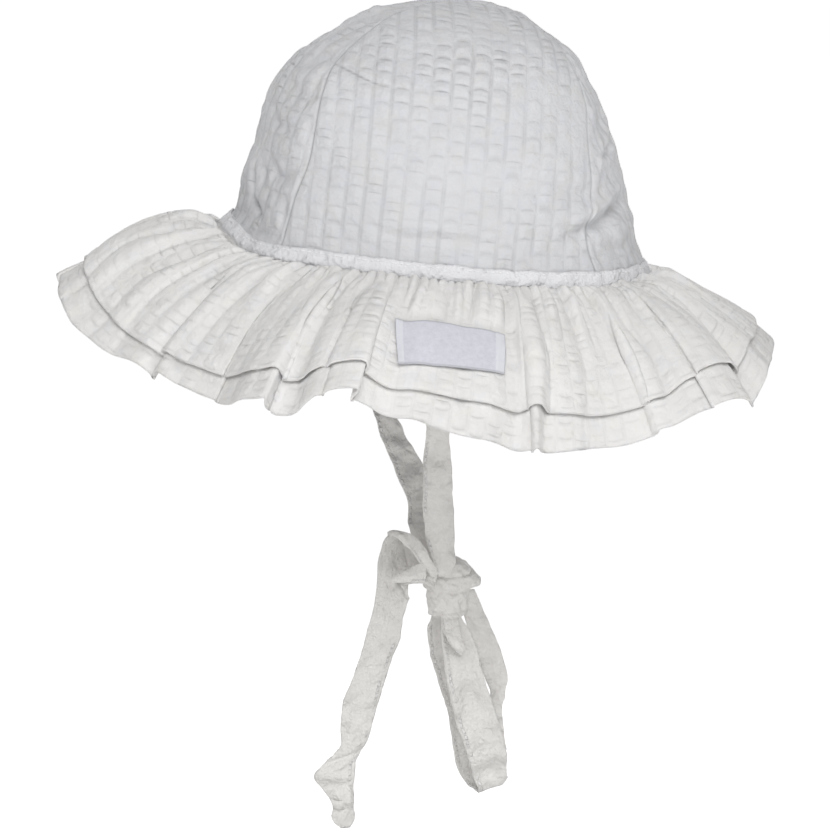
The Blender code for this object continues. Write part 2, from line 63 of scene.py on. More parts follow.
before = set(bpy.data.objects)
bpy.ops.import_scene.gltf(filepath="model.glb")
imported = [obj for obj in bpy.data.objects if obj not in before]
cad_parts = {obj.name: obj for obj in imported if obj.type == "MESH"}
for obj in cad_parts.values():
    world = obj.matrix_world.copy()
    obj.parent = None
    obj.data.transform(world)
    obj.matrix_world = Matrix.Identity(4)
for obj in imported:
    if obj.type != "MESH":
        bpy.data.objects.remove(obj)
CAD_BOX = [list(corner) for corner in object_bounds()]
KNOT_LOW, KNOT_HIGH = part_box("knot")
BODY = "root"
MM = 0.001
TURN = 2 * math.pi

# How finely the pieces are divided: columns across or round, then rows along or up.
GORE_GRID = (150, 150)
BINDING_GRID = (1000, 15)
STITCH_GRID = (8, 6)
UPPER_GRID = (1080, 44)
LOWER_GRID = (1000, 44)
LABEL_GRID = (90, 40)
KNOT_GRID = (120, 70)
TIE_COLUMNS = 25

# Small fixed sizes in metres: where the crown's cloth starts, the room between the ruffles at the band, the
# label's height over the upper ruffle and its thickness, the stitches' length, radius and pitch on the ties,
# the depth of the ties' creases and the length over which they grow from nothing.
CROWN_FOOT = 0.0003
LAYER_ROOM = 0.0013
LABEL_LIFT = 0.0014
LABEL_WALL = 0.0007
STITCH_LENGTH = 0.0019
STITCH_RADIUS = 0.00026
STITCH_PITCH = 0.0021
TIE_CRUMPLE = 0.0016
CRUMPLE_START = 0.015

# Stitches round the binding, the distance in millimetres that stands for no seam near, and a place across
# the cloth that lies off it, for cloth without a row of stitches.
STITCH_COUNT = 176
NO_SEAM = 9.0
NO_STITCHES = 2.0

# How far apart the fixed numbers of neighbouring rows of a wander lie, and the seeds that both ruffles share
# so that they fold together.
ROW_STEP = 57
GATHER_SEED = 21.0
WAVE_SEED = 32.0

# Brim, in metres: where the cloth starts beyond the band, over what run it recovers from the band's drop, how
# far from the hem its stitches lie, the depth and half width of their groove and the depth of the soft waves.
BRIM_START = 0.0004
DROP_RUN = 0.042
HEM_INSET = 0.0055
HEM_GROOVE = 0.00025
HEM_STITCH = 0.0006
WAVE_DEPTH = 0.0011

# Hem: how much it wanders as a share of the depth, and the length of one wander in metres.
HEM_WANDER = 0.008
HEM_STRETCH = 0.011

# Gathers: the shortest and the longest run, in metres, after which a fine rib and a soft fold die out.
RIB_RUNS = (0.006, 0.030)
FOLD_RUNS = (0.020, 0.080)

# Crown: the share of the climb where the gores meet at the top, how closely columns crowd to the seams, the
# depth of the groove in a seam and its half width in metres, and the same for the pressed edge beside it.
CROWN_TOP = 0.9995
SEAM_CROWDING = 0.6
SEAM_GROOVE = (0.0006, 0.0005)
PRESSED_EDGE = (0.00005, 0.0011)
PRESSED_INSET = 0.0021

# A crease with a smaller half width than this, in millimetres, is pressed sharp, and its line is darkened
# with painted shade.
SHARP_CREASE = 1.0

# Floor: half its side and the start and end of its pale part as distances from the hat in metres, and its
# greys near the hat and far from it. The grey near the hat is a pool of painted shade under it.
FLOOR_HALF = 30.0
FLOOR_POOL = (0.62, 0.95)
FLOOR_NEAR = (0.68, 0.68, 0.68, 1.0)
FLOOR_FAR = (0.96, 0.96, 0.96, 1.0)
WHITE = (1.0, 1.0, 1.0, 1.0)

# The photograph's camera: its view is this many pixels wide, and its middle pixel looks at the aim.
PHOTO_PIXELS = 830
FOCAL_PIXELS = 3533.0
SENSOR_MM = 36.0

# Crown outline. A row is one level: height as a share of the crown's height, the reach from the middle to the
# front and to the back as shares of half the band's length, and to each side as a share of half its width.
#         height  front   back    side
CROWN_LEVELS = (
    (0.000, 0.965, 1.000, 1.000),
    (0.040, 0.915, 0.972, 0.985),
    (0.100, 0.900, 0.937, 0.965),
    (0.210, 0.890, 0.884, 0.940),
    (0.330, 0.858, 0.832, 0.905),
    (0.450, 0.840, 0.771, 0.865),
    (0.560, 0.811, 0.716, 0.815),
    (0.660, 0.755, 0.664, 0.755),
    (0.750, 0.652, 0.600, 0.675),
    (0.830, 0.545, 0.522, 0.575),
    (0.900, 0.430, 0.410, 0.450),
    (0.960, 0.250, 0.255, 0.275),
    (1.000, 0.000, 0.000, 0.000),
)

# Gore seams on the wearer's left, mirrored on the right: height as a share, front seam and back seam angles.
SEAM_LEVELS = (
    (0.00, 31.0, 126.0),
    (0.10, 31.5, 124.5),
    (0.20, 32.8, 124.5),
    (0.32, 34.5, 128.5),
    (0.52, 34.0, 131.0),
    (0.66, 31.6, 136.0),
    (0.72, 29.6, 137.5),
    (0.85, 29.5, 142.0),
    (1.00, 31.0, 144.0),
)

# Soft dents of the crown: the middle's angle and height share, the spread round in degrees and up as a share,
# and the depth as a share of the dent depth.
CROWN_DENTS = (
    (12.0, 0.16, 11.0, 0.12, 0.70),
    (141.0, 0.29, 16.0, 0.09, 1.00),
    (153.0, 0.38, 13.0, 0.08, 0.60),
    (118.0, 0.15, 14.0, 0.08, 0.50),
    (152.0, 0.55, 12.0, 0.12, 0.40),
    (70.0, 0.10, 18.0, 0.06, 0.30),
    (225.0, 0.28, 18.0, 0.10, 0.80),
    (300.0, 0.14, 16.0, 0.08, 0.50),
)

# Creases pressed into the crown: depth and half width in millimetres, how proud the cloth stands above the
# crease as a share of its depth (negative: it sinks), then the points it runs through as (angle, height
# share).
CROWN_CREASES = (
    (
        0.6, 0.7, 0.3,
        ((26.5, 0.708), (30.0, 0.700), (38.5, 0.682), (48.3, 0.656), (56.8, 0.638), (66.0, 0.630)),
    ),
    (1.0, 1.4, -0.5, ((15.0, 0.730), (22.0, 0.722), (31.0, 0.708))),
    (3.6, 2.2, 0.9, ((158.0, 0.305), (144.4, 0.268), (125.4, 0.208), (117.0, 0.180))),
    (1.6, 1.8, 0.7, ((167.0, 0.57), (152.0, 0.50), (140.5, 0.452), (136.6, 0.381), (134.0, 0.33))),
    (1.1, 1.8, 0.9, ((58.0, 0.150), (68.0, 0.132), (80.0, 0.146), (93.0, 0.142))),
    (3.0, 2.0, 0.5, ((1.0, 0.34), (3.5, 0.24), (8.0, 0.141), (16.0, 0.100))),
    (1.6, 2.4, 0.6, ((4.0, 0.50), (14.0, 0.44), (27.0, 0.42))),
    (1.2, 2.2, 0.6, ((10.0, 0.62), (18.0, 0.58), (30.0, 0.57))),
    (1.2, 2.0, 0.6, ((14.0, 0.32), (21.0, 0.27), (30.0, 0.26))),
    (1.4, 1.6, 0.6, ((160.0, 0.44), (151.0, 0.47), (143.0, 0.51))),
    (1.2, 2.0, 0.6, ((150.0, 0.16), (141.0, 0.12), (131.0, 0.13))),
    (1.0, 1.8, 0.5, ((112.0, 0.36), (121.0, 0.33), (129.0, 0.33))),
    (1.2, 2.2, 0.6, ((214.0, 0.36), (226.0, 0.27), (240.0, 0.22))),
    (1.0, 2.0, 0.6, ((290.0, 0.17), (306.0, 0.14), (322.0, 0.15))),
)

# Folds of the brim, one row for each crest, valley or edge: the angle on the band where its line of cloth
# starts, its sweep round from straight out and its droop below level in degrees, and the share of its reach.
BRIM_FOLDS = (
    (-4.0, -10.0, 23.0, 0.87),
    (5.0, -12.0, 30.0, 0.91),
    (12.0, -18.0, 36.0, 0.95),
    (22.0, -29.0, 44.0, 0.98),
    (31.0, -34.0, 49.0, 1.00),
    (33.5, -36.5, 53.0, 1.00),
    (37.0, -38.0, 50.0, 1.00),
    (41.0, -37.0, 54.0, 1.00),
    (47.0, -29.0, 56.0, 1.00),
    (53.0, -14.0, 47.0, 1.00),
    (55.5, -12.0, 43.0, 1.00),
    (58.3, -13.0, 50.5, 1.00),
    (61.0, -11.0, 48.5, 1.00),
    (63.5, -10.0, 43.5, 1.00),
    (65.5, -9.0, 37.5, 1.00),
    (68.0, -4.0, 34.5, 1.00),
    (70.0, -7.0, 41.5, 1.00),
    (75.0, -8.0, 46.5, 1.00),
    (79.0, -9.0, 45.5, 1.00),
    (84.0, -11.0, 46.5, 1.00),
    (92.0, -10.0, 48.5, 1.00),
    (97.5, -8.0, 52.5, 1.00),
    (100.5, -8.5, 46.0, 1.00),
    (103.5, -8.0, 51.0, 1.00),
    (107.0, -8.5, 52.0, 1.00),
    (114.0, -1.0, 49.8, 1.00),
    (118.0, 1.0, 46.0, 1.00),
    (122.0, -6.0, 41.0, 1.00),
    (125.0, -8.0, 39.0, 1.00),
    (130.0, -12.0, 30.0, 1.00),
    (136.0, -8.0, 25.0, 1.00),
    (139.0, -2.0, 31.0, 0.97),
    (142.0, 0.0, 24.0, 0.92),
    (146.0, -3.0, 21.0, 0.87),
    (155.0, -4.0, 22.0, 0.80),
    (164.0, 14.0, 18.0, 0.76),
    (176.0, 8.0, 29.0, 0.78),
    (188.0, -6.0, 23.0, 0.79),
    (199.0, 4.0, 32.0, 0.86),
    (210.0, 6.0, 25.0, 0.92),
    (220.0, 0.0, 37.0, 1.00),
    (229.0, 10.0, 32.0, 1.00),
    (238.0, 6.0, 46.0, 1.00),
    (247.0, 2.0, 42.0, 1.00),
    (256.0, 8.0, 53.0, 1.00),
    (264.0, 10.0, 45.0, 1.00),
    (273.0, 6.0, 53.0, 1.00),
    (282.0, 12.0, 44.0, 1.00),
    (291.0, 8.0, 52.0, 1.00),
    (299.0, 14.0, 43.0, 1.00),
    (308.0, 18.0, 53.0, 1.00),
    (317.0, 22.0, 44.0, 1.00),
    (326.0, 26.0, 49.0, 1.00),
    (335.0, 18.0, 36.0, 0.96),
    (346.0, 10.0, 28.0, 0.90),
)

# How far the crown's foot and the brim's start hang below the level of the head opening: an angle and the
# drop in millimetres.
BAND_DROPS = (
    (-18.0, 0.0),
    (0.0, 0.3),
    (10.0, 2.4),
    (20.0, 4.8),
    (30.0, 5.5),
    (45.0, 5.2),
    (60.0, 4.8),
    (75.0, 4.4),
    (90.0, 4.0),
    (105.0, 3.3),
    (120.0, 2.3),
    (135.0, 1.3),
    (152.0, 0.0),
    (208.0, 0.0),
    (240.0, 2.3),
    (270.0, 4.0),
    (300.0, 4.4),
    (325.0, 3.0),
)

# How much shorter than its full depth the lower ruffle hangs: an angle and the length in millimetres.
LOWER_TRIMS = (
    (0.0, 0.0),
    (14.0, 1.0),
    (26.0, 4.5),
    (33.0, 6.0),
    (46.0, 4.5),
    (54.0, 2.5),
    (60.0, 1.0),
    (65.0, 3.5),
    (69.0, 2.5),
    (72.0, 5.0),
    (79.0, 3.0),
    (88.0, 1.5),
    (97.0, 0.5),
    (100.5, -2.0),
    (104.0, -0.5),
    (108.0, 1.0),
    (116.0, 2.5),
    (125.0, 2.5),
    (131.0, 0.0),
    (136.0, -1.0),
    (142.0, 0.3),
    (180.0, 0.0),
    (230.0, 3.0),
    (300.0, 2.0),
    (340.0, 0.5),
)

# Tucks where the cloth laps over itself: the angle on the band, half the width in degrees, how far the two
# sides slide over each other, how far one side stands over the other (positive: the side towards the front is
# on top) and how far the line between them sinks, in millimetres at the hem, and the run in millimetres where
# the tuck starts and is full.
BRIM_TUCKS = (
    (33.5, 1.2, 4.2, 1.4, 0.0, 6.0, 48.0),
    (47.0, 1.0, 2.4, 1.0, 0.6, 2.0, 40.0),
    (57.5, 1.1, 3.4, -1.4, 0.8, 3.0, 42.0),
    (64.5, 1.0, 2.6, 1.2, 0.8, 12.0, 44.0),
    (69.5, 1.0, 3.0, -1.3, 0.8, 3.0, 38.0),
    (99.0, 0.60, 1.6, 0.5, 1.6, 0.5, 16.0),
    (120.0, 1.2, 3.2, 1.2, 0.2, 4.0, 40.0),
    (131.5, 1.0, 2.6, -1.0, 0.5, 0.5, 34.0),
    (139.5, 1.1, 2.8, 1.0, 0.4, 0.5, 34.0),
    (188.0, 1.4, 2.2, 1.0, 0.2, 4.0, 40.0),
    (229.0, 1.3, 2.6, 1.0, 0.2, 4.0, 44.0),
    (262.0, 1.2, 2.4, -1.0, 0.2, 6.0, 44.0),
    (291.0, 1.2, 2.4, 1.0, 0.2, 6.0, 46.0),
    (318.0, 1.2, 2.4, -1.0, 0.2, 4.0, 44.0),
)

# The label's outline on the brim: the middle's angle and half the width in degrees at its top and at its
# bottom, the run from the band to its upper edge and its height in millimetres, and how much lower its front
# end sits than its back end, at the top and at the bottom.
LABEL_MIDDLES = (83.4, 84.6)
LABEL_HALVES = (11.4, 9.7)
LABEL_TOP = 28.0
LABEL_TALL = 17.6
LABEL_TILTS = (0.9, 1.6)

# Outlines of the ties as the photograph shows them. A row is one station along the cloth: the pixels of its
# left and right edges, how far each edge lies to the wearer's left of the hat's middle, and how far the cloth
# swells towards the viewer between them, in millimetres.
#   left x  left y  right x right y left   right  swell
LEFT_STRAP = (
    (414.0, 250.0, 447.0, 252.0, 60.3, 60.3, 0.0),
    (405.0, 280.0, 440.0, 281.0, 61.5, 61.5, 0.0),
    (409.0, 306.0, 443.0, 308.0, 55.7, 55.7, 0.4),
    (412.0, 360.0, 444.0, 362.0, 44.5, 44.5, 0.8),
    (422.0, 400.0, 447.0, 404.0, 35.5, 34.8, 1.0),
    (427.0, 431.0, 448.5, 437.0, 28.5, 27.5, 1.0),
    (424.0, 462.0, 451.0, 463.0, 21.9, 21.9, 1.4),
    (423.0, 490.0, 452.0, 492.0, 16.5, 16.5, 1.5),
    (423.5, 515.0, 453.5, 517.0, 11.5, 11.5, 1.5),
    (426.0, 537.0, 454.5, 538.0, 7.5, 7.5, 1.4),
    (431.5, 558.0, 454.0, 557.0, 5.5, 5.0, 1.0),
    (438.0, 576.0, 452.0, 572.0, 5.0, 4.0, 0.4),
)
RIGHT_STRAP = (
    (339.0, 211.0, 366.0, 211.0, -60.6, -60.6, 0.0),
    (329.0, 238.0, 358.0, 238.0, -61.8, -61.8, 0.0),
    (336.0, 267.0, 366.0, 267.0, -55.6, -55.6, 0.4),
    (343.0, 300.0, 373.0, 303.0, -49.0, -49.0, 0.8),
    (355.0, 353.0, 384.0, 360.0, -39.0, -38.0, 0.8),
    (370.0, 402.0, 398.0, 420.0, -29.0, -26.5, 1.0),
    (377.0, 427.0, 406.0, 440.0, -24.5, -22.5, 1.2),
    (388.5, 455.0, 423.0, 464.0, -19.5, -18.0, 1.2),
    (398.0, 481.0, 428.0, 487.0, -15.0, -14.0, 1.2),
    (408.0, 504.0, 434.0, 508.0, -10.5, -10.0, 1.0),
    (409.5, 529.0, 438.0, 532.0, -6.0, -5.5, 1.0),
    (418.0, 556.0, 443.0, 556.0, -2.5, -2.5, 0.6),
    (430.0, 574.0, 446.0, 572.0, -1.5, -1.5, 0.2),
)
LONG_TAIL = (
    (437.0, 574.0, 434.0, 589.0, 5.5, 7.0, 0.0),
    (430.0, 561.0, 424.0, 583.0, 6.5, 8.0, -2.0),
    (421.0, 548.0, 415.0, 582.5, 7.5, 8.5, -6.0),
    (410.0, 536.0, 408.0, 583.5, 7.5, 8.5, -8.0),
    (397.0, 533.0, 402.0, 586.0, 6.5, 8.0, -8.0),
    (388.0, 537.0, 402.0, 591.0, 5.0, 7.5, -6.0),
    (381.0, 553.0, 405.0, 598.0, 4.0, 7.0, -3.5),
    (377.0, 584.0, 406.0, 608.0, 3.5, 6.0, -0.5),
    (373.0, 609.0, 402.0, 621.0, 3.5, 5.0, 0.8),
    (366.0, 636.0, 399.0, 638.0, 3.5, 4.5, 1.0),
    (358.0, 664.0, 391.0, 658.0, 3.5, 4.5, 1.0),
    (349.0, 689.0, 385.0, 681.0, 3.5, 4.5, 1.2),
    (342.0, 711.0, 378.0, 702.0, 3.5, 4.5, 1.2),
    (341.0, 729.0, 373.0, 720.0, 3.0, 4.5, 1.2),
    (341.0, 745.0, 366.0, 741.0, 3.0, 4.0, 1.5),
    (329.0, 759.0, 357.0, 757.0, 3.5, 3.5, 1.0),
    (314.5, 776.0, 354.0, 769.0, 4.0, 3.0, 0.6),
    (323.0, 789.0, 353.0, 785.0, 3.5, 3.0, 1.0),
    (332.0, 802.0, 352.5, 800.0, 3.0, 3.0, 1.6),
    (333.5, 808.0, 352.5, 806.0, 3.0, 3.0, 1.0),
    (331.0, 816.0, 354.5, 814.0, 3.0, 3.0, 1.0),
    (335.0, 823.5, 353.5, 822.0, 3.0, 3.0, 0.6),
    (341.0, 828.0, 349.0, 827.0, 3.0, 3.0, 0.2),
)
TAIL_RIM = (
    (438.0, 573.0, 432.0, 577.0, 6.5, 7.0, 0.2),
    (431.0, 561.0, 423.0, 566.0, 8.0, 9.5, 0.6),
    (422.0, 547.5, 413.0, 554.0, 9.0, 10.5, 0.8),
    (411.0, 535.5, 404.0, 544.0, 9.0, 10.5, 0.8),
    (398.0, 532.5, 396.0, 538.0, 8.0, 9.5, 0.6),
    (388.5, 533.5, 389.0, 536.0, 6.5, 7.5, 0.2),
)
TAIL_LAP = (
    (425.0, 563.0, 424.0, 582.0, 9.0, 9.0, 0.6),
    (416.0, 565.5, 414.0, 581.5, 10.0, 11.0, 1.0),
    (407.0, 570.0, 406.0, 581.5, 10.5, 12.0, 0.8),
    (397.0, 576.0, 397.5, 582.5, 10.5, 11.5, 0.4),
    (389.0, 580.5, 389.5, 583.0, 10.0, 10.4, 0.0),
)
TIP_HEM = (
    (331.5, 799.5, 333.5, 806.5, 3.6, 3.8, 0.4),
    (338.0, 801.5, 339.0, 808.5, 4.6, 4.8, 0.6),
    (345.0, 801.5, 346.0, 808.0, 4.6, 4.8, 0.6),
    (353.0, 798.5, 353.5, 804.5, 3.6, 3.8, 0.4),
)
BOW_LOOP = (
    (441.0, 612.0, 458.0, 612.0, 3.5, 3.5, 0.0),
    (442.0, 634.0, 470.0, 633.0, 7.0, 6.5, 1.4),
    (444.0, 660.0, 479.0, 658.0, 8.6, 8.4, 2.0),
    (447.0, 684.0, 485.0, 680.0, 9.2, 9.0, 2.0),
    (453.0, 710.0, 492.0, 703.0, 9.2, 9.0, 2.0),
    (462.0, 739.0, 500.0, 730.0, 8.8, 8.6, 1.6),
    (469.0, 760.0, 506.5, 754.0, 7.4, 7.2, 1.4),
    (475.0, 781.0, 506.5, 768.0, 4.0, 4.0, 1.4),
    (478.0, 790.5, 504.0, 776.0, 0.0, 0.0, -2.4),
    (470.0, 787.5, 492.0, 777.5, -5.0, -5.0, 0.0),
    (459.0, 770.0, 486.0, 764.0, -7.5, -7.5, -1.0),
    (454.0, 748.0, 481.0, 744.0, -8.6, -8.6, -1.2),
    (451.0, 724.0, 478.0, 720.0, -8.8, -8.8, -1.2),
    (444.0, 701.0, 472.0, 697.0, -8.8, -8.8, -1.2),
    (438.0, 678.0, 467.0, 674.0, -8.6, -8.6, -1.2),
    (431.0, 656.0, 461.0, 652.0, -7.8, -7.8, -1.0),
    (428.0, 638.0, 456.0, 636.0, -6.4, -6.4, -0.6),
    (431.5, 614.0, 450.0, 614.0, -3.5, -3.5, 0.0),
)
LOOP_LAP = (
    (440.0, 612.0, 456.0, 612.0, 4.5, 4.5, 0.4),
    (442.0, 626.0, 459.0, 628.0, 8.2, 8.2, 0.6),
    (446.5, 638.0, 461.0, 641.0, 10.6, 10.2, 0.6),
    (455.0, 649.0, 462.0, 651.0, 11.2, 10.8, 0.4),
    (459.5, 654.0, 462.0, 655.0, 11.2, 11.0, 0.0),
)
SHORT_END = (
    (461.0, 590.0, 474.0, 589.0, -1.0, -1.0, 0.2),
    (464.0, 616.0, 484.5, 614.0, -1.0, -1.0, 1.0),
    (472.0, 640.0, 495.0, 638.0, -1.0, -1.0, 1.2),
    (479.0, 662.0, 503.0, 659.0, -1.0, -0.6, 1.2),
    (486.0, 679.0, 506.5, 674.0, -1.4, 0.4, 0.8),
    (491.5, 690.0, 506.0, 686.0, -2.4, 1.6, 0.4),
    (492.0, 702.0, 503.5, 701.0, -3.0, 1.2, 0.6),
    (490.0, 716.0, 502.0, 715.0, -2.2, -0.4, 0.8),
    (489.0, 735.0, 504.0, 733.0, -1.6, -1.0, 0.8),
    (489.0, 752.0, 506.0, 750.0, -1.2, -1.0, 0.6),
)

# The knot from the bottom up, as the photograph shows it: the pixels of its left and right sides and their
# height in the picture, and its depth as a share of the solid knot's.
#   left    right   down    depth
KNOT_LEVELS = (
    (437.0, 457.0, 617.0, 0.40),
    (431.0, 463.0, 615.0, 0.74),
    (429.0, 465.0, 609.0, 0.84),
    (428.0, 466.5, 600.0, 0.88),
    (427.5, 469.0, 592.0, 0.86),
    (427.5, 471.0, 588.5, 0.80),
    (425.0, 477.5, 585.5, 0.96),
    (424.0, 479.5, 581.0, 1.00),
    (426.0, 476.0, 573.5, 0.96),
    (431.0, 469.0, 566.0, 0.84),
    (438.0, 460.0, 559.5, 0.58),
    (444.0, 453.0, 557.5, 0.25),
)


class HatSizes(bpy.types.PropertyGroup):
    """Real sizes of crown, band and brim."""

    band_length: FloatProperty(
        name="Band length", description="Head opening, front to back", default=0.1626, unit="LENGTH"
    )
    band_width: FloatProperty(
        name="Band width", description="Head opening, side to side", default=0.1340, unit="LENGTH"
    )
    crown_height: FloatProperty(
        name="Crown height", description="Band to top", default=0.0915, unit="LENGTH"
    )
    lean: FloatProperty(
        name="Lean", description="How far the hat leans back", default=math.radians(7.5), subtype="ANGLE"
    )
    seam_ridge: FloatProperty(
        name="Seam ridge", description="How proud the gore seams stand", default=0.0024, unit="LENGTH"
    )
    seam_spread: FloatProperty(
        name="Seam spread", description="How far the ridge reaches round",
        default=math.radians(24.0), subtype="ANGLE",
    )
    dent_depth: FloatProperty(
        name="Dent depth", description="Depth of the crown's soft dents", default=0.0030, unit="LENGTH"
    )
    binding_height: FloatProperty(
        name="Binding height", description="Height of the binding strip", default=0.0045, unit="LENGTH"
    )
    lower_depth: FloatProperty(
        name="Lower ruffle", description="Depth of the lower ruffle", default=0.0690, unit="LENGTH"
    )
    upper_depth: FloatProperty(
        name="Upper ruffle", description="Depth of the upper ruffle", default=0.0555, unit="LENGTH"
    )
    arch: FloatProperty(
        name="Arch", description="How much a ruffle curves from band to hem",
        default=math.radians(30.0), subtype="ANGLE",
    )
    seam_fall: FloatProperty(
        name="Seam fall", description="How far the ruffles start below the crown",
        default=0.0014, unit="LENGTH",
    )
    hem_gap: FloatProperty(
        name="Hem gap", description="Room between the ruffles at the hem", default=0.0006, unit="LENGTH"
    )
    front_bulge: FloatProperty(
        name="Front bulge", description="Rise of the brim's front between band and hem",
        default=0.0042, unit="LENGTH",
    )


class ClothLook(bpy.types.PropertyGroup):
    """Weave, gathers and colours of the cloth."""

    pitch: FloatProperty(
        name="Stripe pitch", description="From one flat stripe of the weave to the next",
        default=0.0069, unit="LENGTH",
    )
    pucker: FloatProperty(
        name="Pucker depth", description="Height of the weave's puckers", default=0.00030, unit="LENGTH"
    )
    gather: FloatProperty(
        name="Gather depth", description="Height of the gathers at the band", default=0.0040, unit="LENGTH"
    )
    gather_count: IntProperty(
        name="Gathers", description="Fine gathers round the band", default=150
    )
    fold_count: IntProperty(
        name="Soft folds", description="Broader folds round the brim", default=62
    )
    wall: FloatProperty(
        name="Cloth", description="Thickness of the cloth", default=0.0007, unit="LENGTH"
    )
    crown: FloatVectorProperty(
        name="Crown colour", description="White of the crown",
        default=(0.655, 0.658, 0.675), subtype="COLOR",
    )
    brim: FloatVectorProperty(
        name="Brim colour", description="White of the ruffles", default=(0.81, 0.80, 0.79), subtype="COLOR"
    )
    binding: FloatVectorProperty(
        name="Binding colour", description="White of the binding",
        default=(0.76, 0.76, 0.78), subtype="COLOR",
    )
    tie: FloatVectorProperty(
        name="Tie colour", description="White of the ties", default=(0.81, 0.795, 0.77), subtype="COLOR"
    )
    label: FloatVectorProperty(
        name="Label colour", description="Grey of the label's middle",
        default=(0.80, 0.805, 0.88), subtype="COLOR",
    )
    thread: FloatVectorProperty(
        name="Thread colour", description="White of the stitches",
        default=(0.86, 0.86, 0.87), subtype="COLOR",
    )


class StageLook(bpy.types.PropertyGroup):
    """Camera, floor and light."""

    azimuth: FloatProperty(
        name="Azimuth", description="Camera's turn from the front to the wearer's left",
        default=math.radians(76.0), subtype="ANGLE",
    )
    elevation: FloatProperty(
        name="Elevation", description="Camera's height as an angle",
        default=math.radians(10.0), subtype="ANGLE",
    )
    distance: FloatProperty(
        name="Distance", description="Camera to aim", default=1.3, unit="LENGTH"
    )
    aim: FloatVectorProperty(
        name="Aim", description="Point in the middle of the picture",
        default=(0.00878, -0.00901, -0.06066), subtype="XYZ",
    )
    floor_drop: FloatProperty(
        name="Floor", description="Floor below the lowest tie", default=0.30, unit="LENGTH"
    )
    sky: FloatProperty(name="Sky", description="Strength of the even light", default=0.29)
    key: FloatProperty(
        name="Key", description="Strength of the wide lamp above the camera", default=9.4
    )
    rear: FloatProperty(
        name="Rear lamp", description="Strength of the soft lamp behind the hat", default=6.5
    )
    fill: FloatProperty(
        name="Fill", description="Strength of the small lamp to the camera's right", default=2.8
    )
    backdrop: FloatProperty(
        name="Backdrop", description="Strength of the floor's own light away from the hat", default=0.75
    )


def chance(index, seed):
    """A fixed number from 0 to 1 for each whole index: the fraction of a large sine of it."""
    return np.abs(np.sin(index * 12.9898 + seed * 78.233) * 43758.5453) % 1.0


def ease(value):
    """0 below 0, 1 above 1 and an S curve between."""
    share = np.clip(value, 0, 1)
    return share * share * (3 - 2 * share)


def drift(place, seed, cells=None):
    """A wander between -1 and 1: chance at whole places, eased between, repeating after so many cells."""
    base = np.floor(place)
    share = ease(place - base)
    after = base + 1
    if cells:
        base = base % cells
        after = after % cells
    low = chance(base, seed)
    return 2 * (low + (chance(after, seed) - low) * share) - 1


def wander(u, v, seed):
    """A wander over two axes between -1 and 1: chance at whole corners, eased along both."""
    left = np.floor(u)
    low = np.floor(v)
    side = ease(u - left)
    rise = ease(v - low)
    corner = left + ROW_STEP * low
    above = corner + ROW_STEP
    bottom = chance(corner, seed) * (1 - side) + chance(corner + 1, seed) * side
    top = chance(above, seed) * (1 - side) + chance(above + 1, seed) * side
    return 2 * (bottom * (1 - rise) + top * rise) - 1


def unit(vectors):
    """The same directions, one long."""
    return vectors / np.maximum(np.linalg.norm(vectors, axis=-1, keepdims=True), 1e-12)


def hermite(positions, values, slopes, at):
    """A cubic curve with these values and slopes at the positions, one column a quantity."""
    place = np.clip(np.searchsorted(positions, at, side="right") - 1, 0, len(positions) - 2)
    span = (positions[place + 1] - positions[place])[..., None]
    share = (at - positions[place])[..., None] / span
    rise = share * share * (3 - 2 * share)
    leave = share * (1 - share) ** 2 * slopes[place] * span
    arrive = share * share * (share - 1) * slopes[place + 1] * span
    return values[place] * (1 - rise) + values[place + 1] * rise + leave + arrive


def smooth(positions, values, at):
    """Values at new positions on a smooth curve through the given points, one column a quantity."""
    positions = np.asarray(positions, float)
    values = np.asarray(values, float)
    return hermite(positions, values, np.gradient(values, positions, axis=0), at)


def monotone(rows, at):
    """The columns after a table's first, level at each crest and valley and never past them between rows."""
    steps = np.diff(rows[:, 1:], axis=0) / np.diff(rows[:, :1], axis=0)
    before = steps[:-1]
    after = steps[1:]
    same = before * after > 0
    slopes = np.zeros_like(rows[:, 1:])
    slopes[1:-1][same] = 2 * before[same] * after[same] / (before[same] + after[same])
    return hermite(rows[:, 0], rows[:, 1:], slopes, at)


def leaned(sizes, points):
    """Points of the hat's own frame turned about the X axis by the lean."""
    turned = np.array(points)
    y = points[..., 1]
    z = points[..., 2]
    turned[..., 1] = y * math.cos(sizes.lean) + z * math.sin(sizes.lean)
    turned[..., 2] = z * math.cos(sizes.lean) - y * math.sin(sizes.lean)
    return turned


def grid_normal(points):
    """The unit normal at each point of a grid: along its columns crossed with along its rows."""
    return unit(np.cross(np.gradient(points, axis=1), np.gradient(points, axis=0)))


def ring_normal(points):
    """The same for a grid closed round its columns."""
    along = np.roll(points, -1, axis=1) - np.roll(points, 1, axis=1)
    return unit(np.cross(along, np.gradient(points, axis=0)))


def travel(points, axis):
    """The distance covered along an axis of a grid, from its start."""
    steps = np.linalg.norm(np.diff(points, axis=axis), axis=-1)
    start = np.zeros_like(np.take(steps, [0], axis=axis))
    return np.concatenate((start, np.cumsum(steps, axis=axis)), axis=axis)


def band_outward(sizes, angle):
    """The level direction straight out of the band's oval."""
    side = np.sin(angle) / sizes.band_width
    return unit(np.stack((side, -np.cos(angle) / sizes.band_length, 0 * angle), -1))


def band_along(sizes, angle):
    """The level direction along the oval, towards growing angles."""
    out = band_outward(sizes, angle)
    return np.stack((-out[..., 1], out[..., 0], out[..., 2]), -1)


def band_point(sizes, angle):
    """The oval itself: half its width times the sine, half its length times minus the cosine."""
    side = sizes.band_width / 2 * np.sin(angle)
    return np.stack((side, -sizes.band_length / 2 * np.cos(angle), 0 * angle), -1)


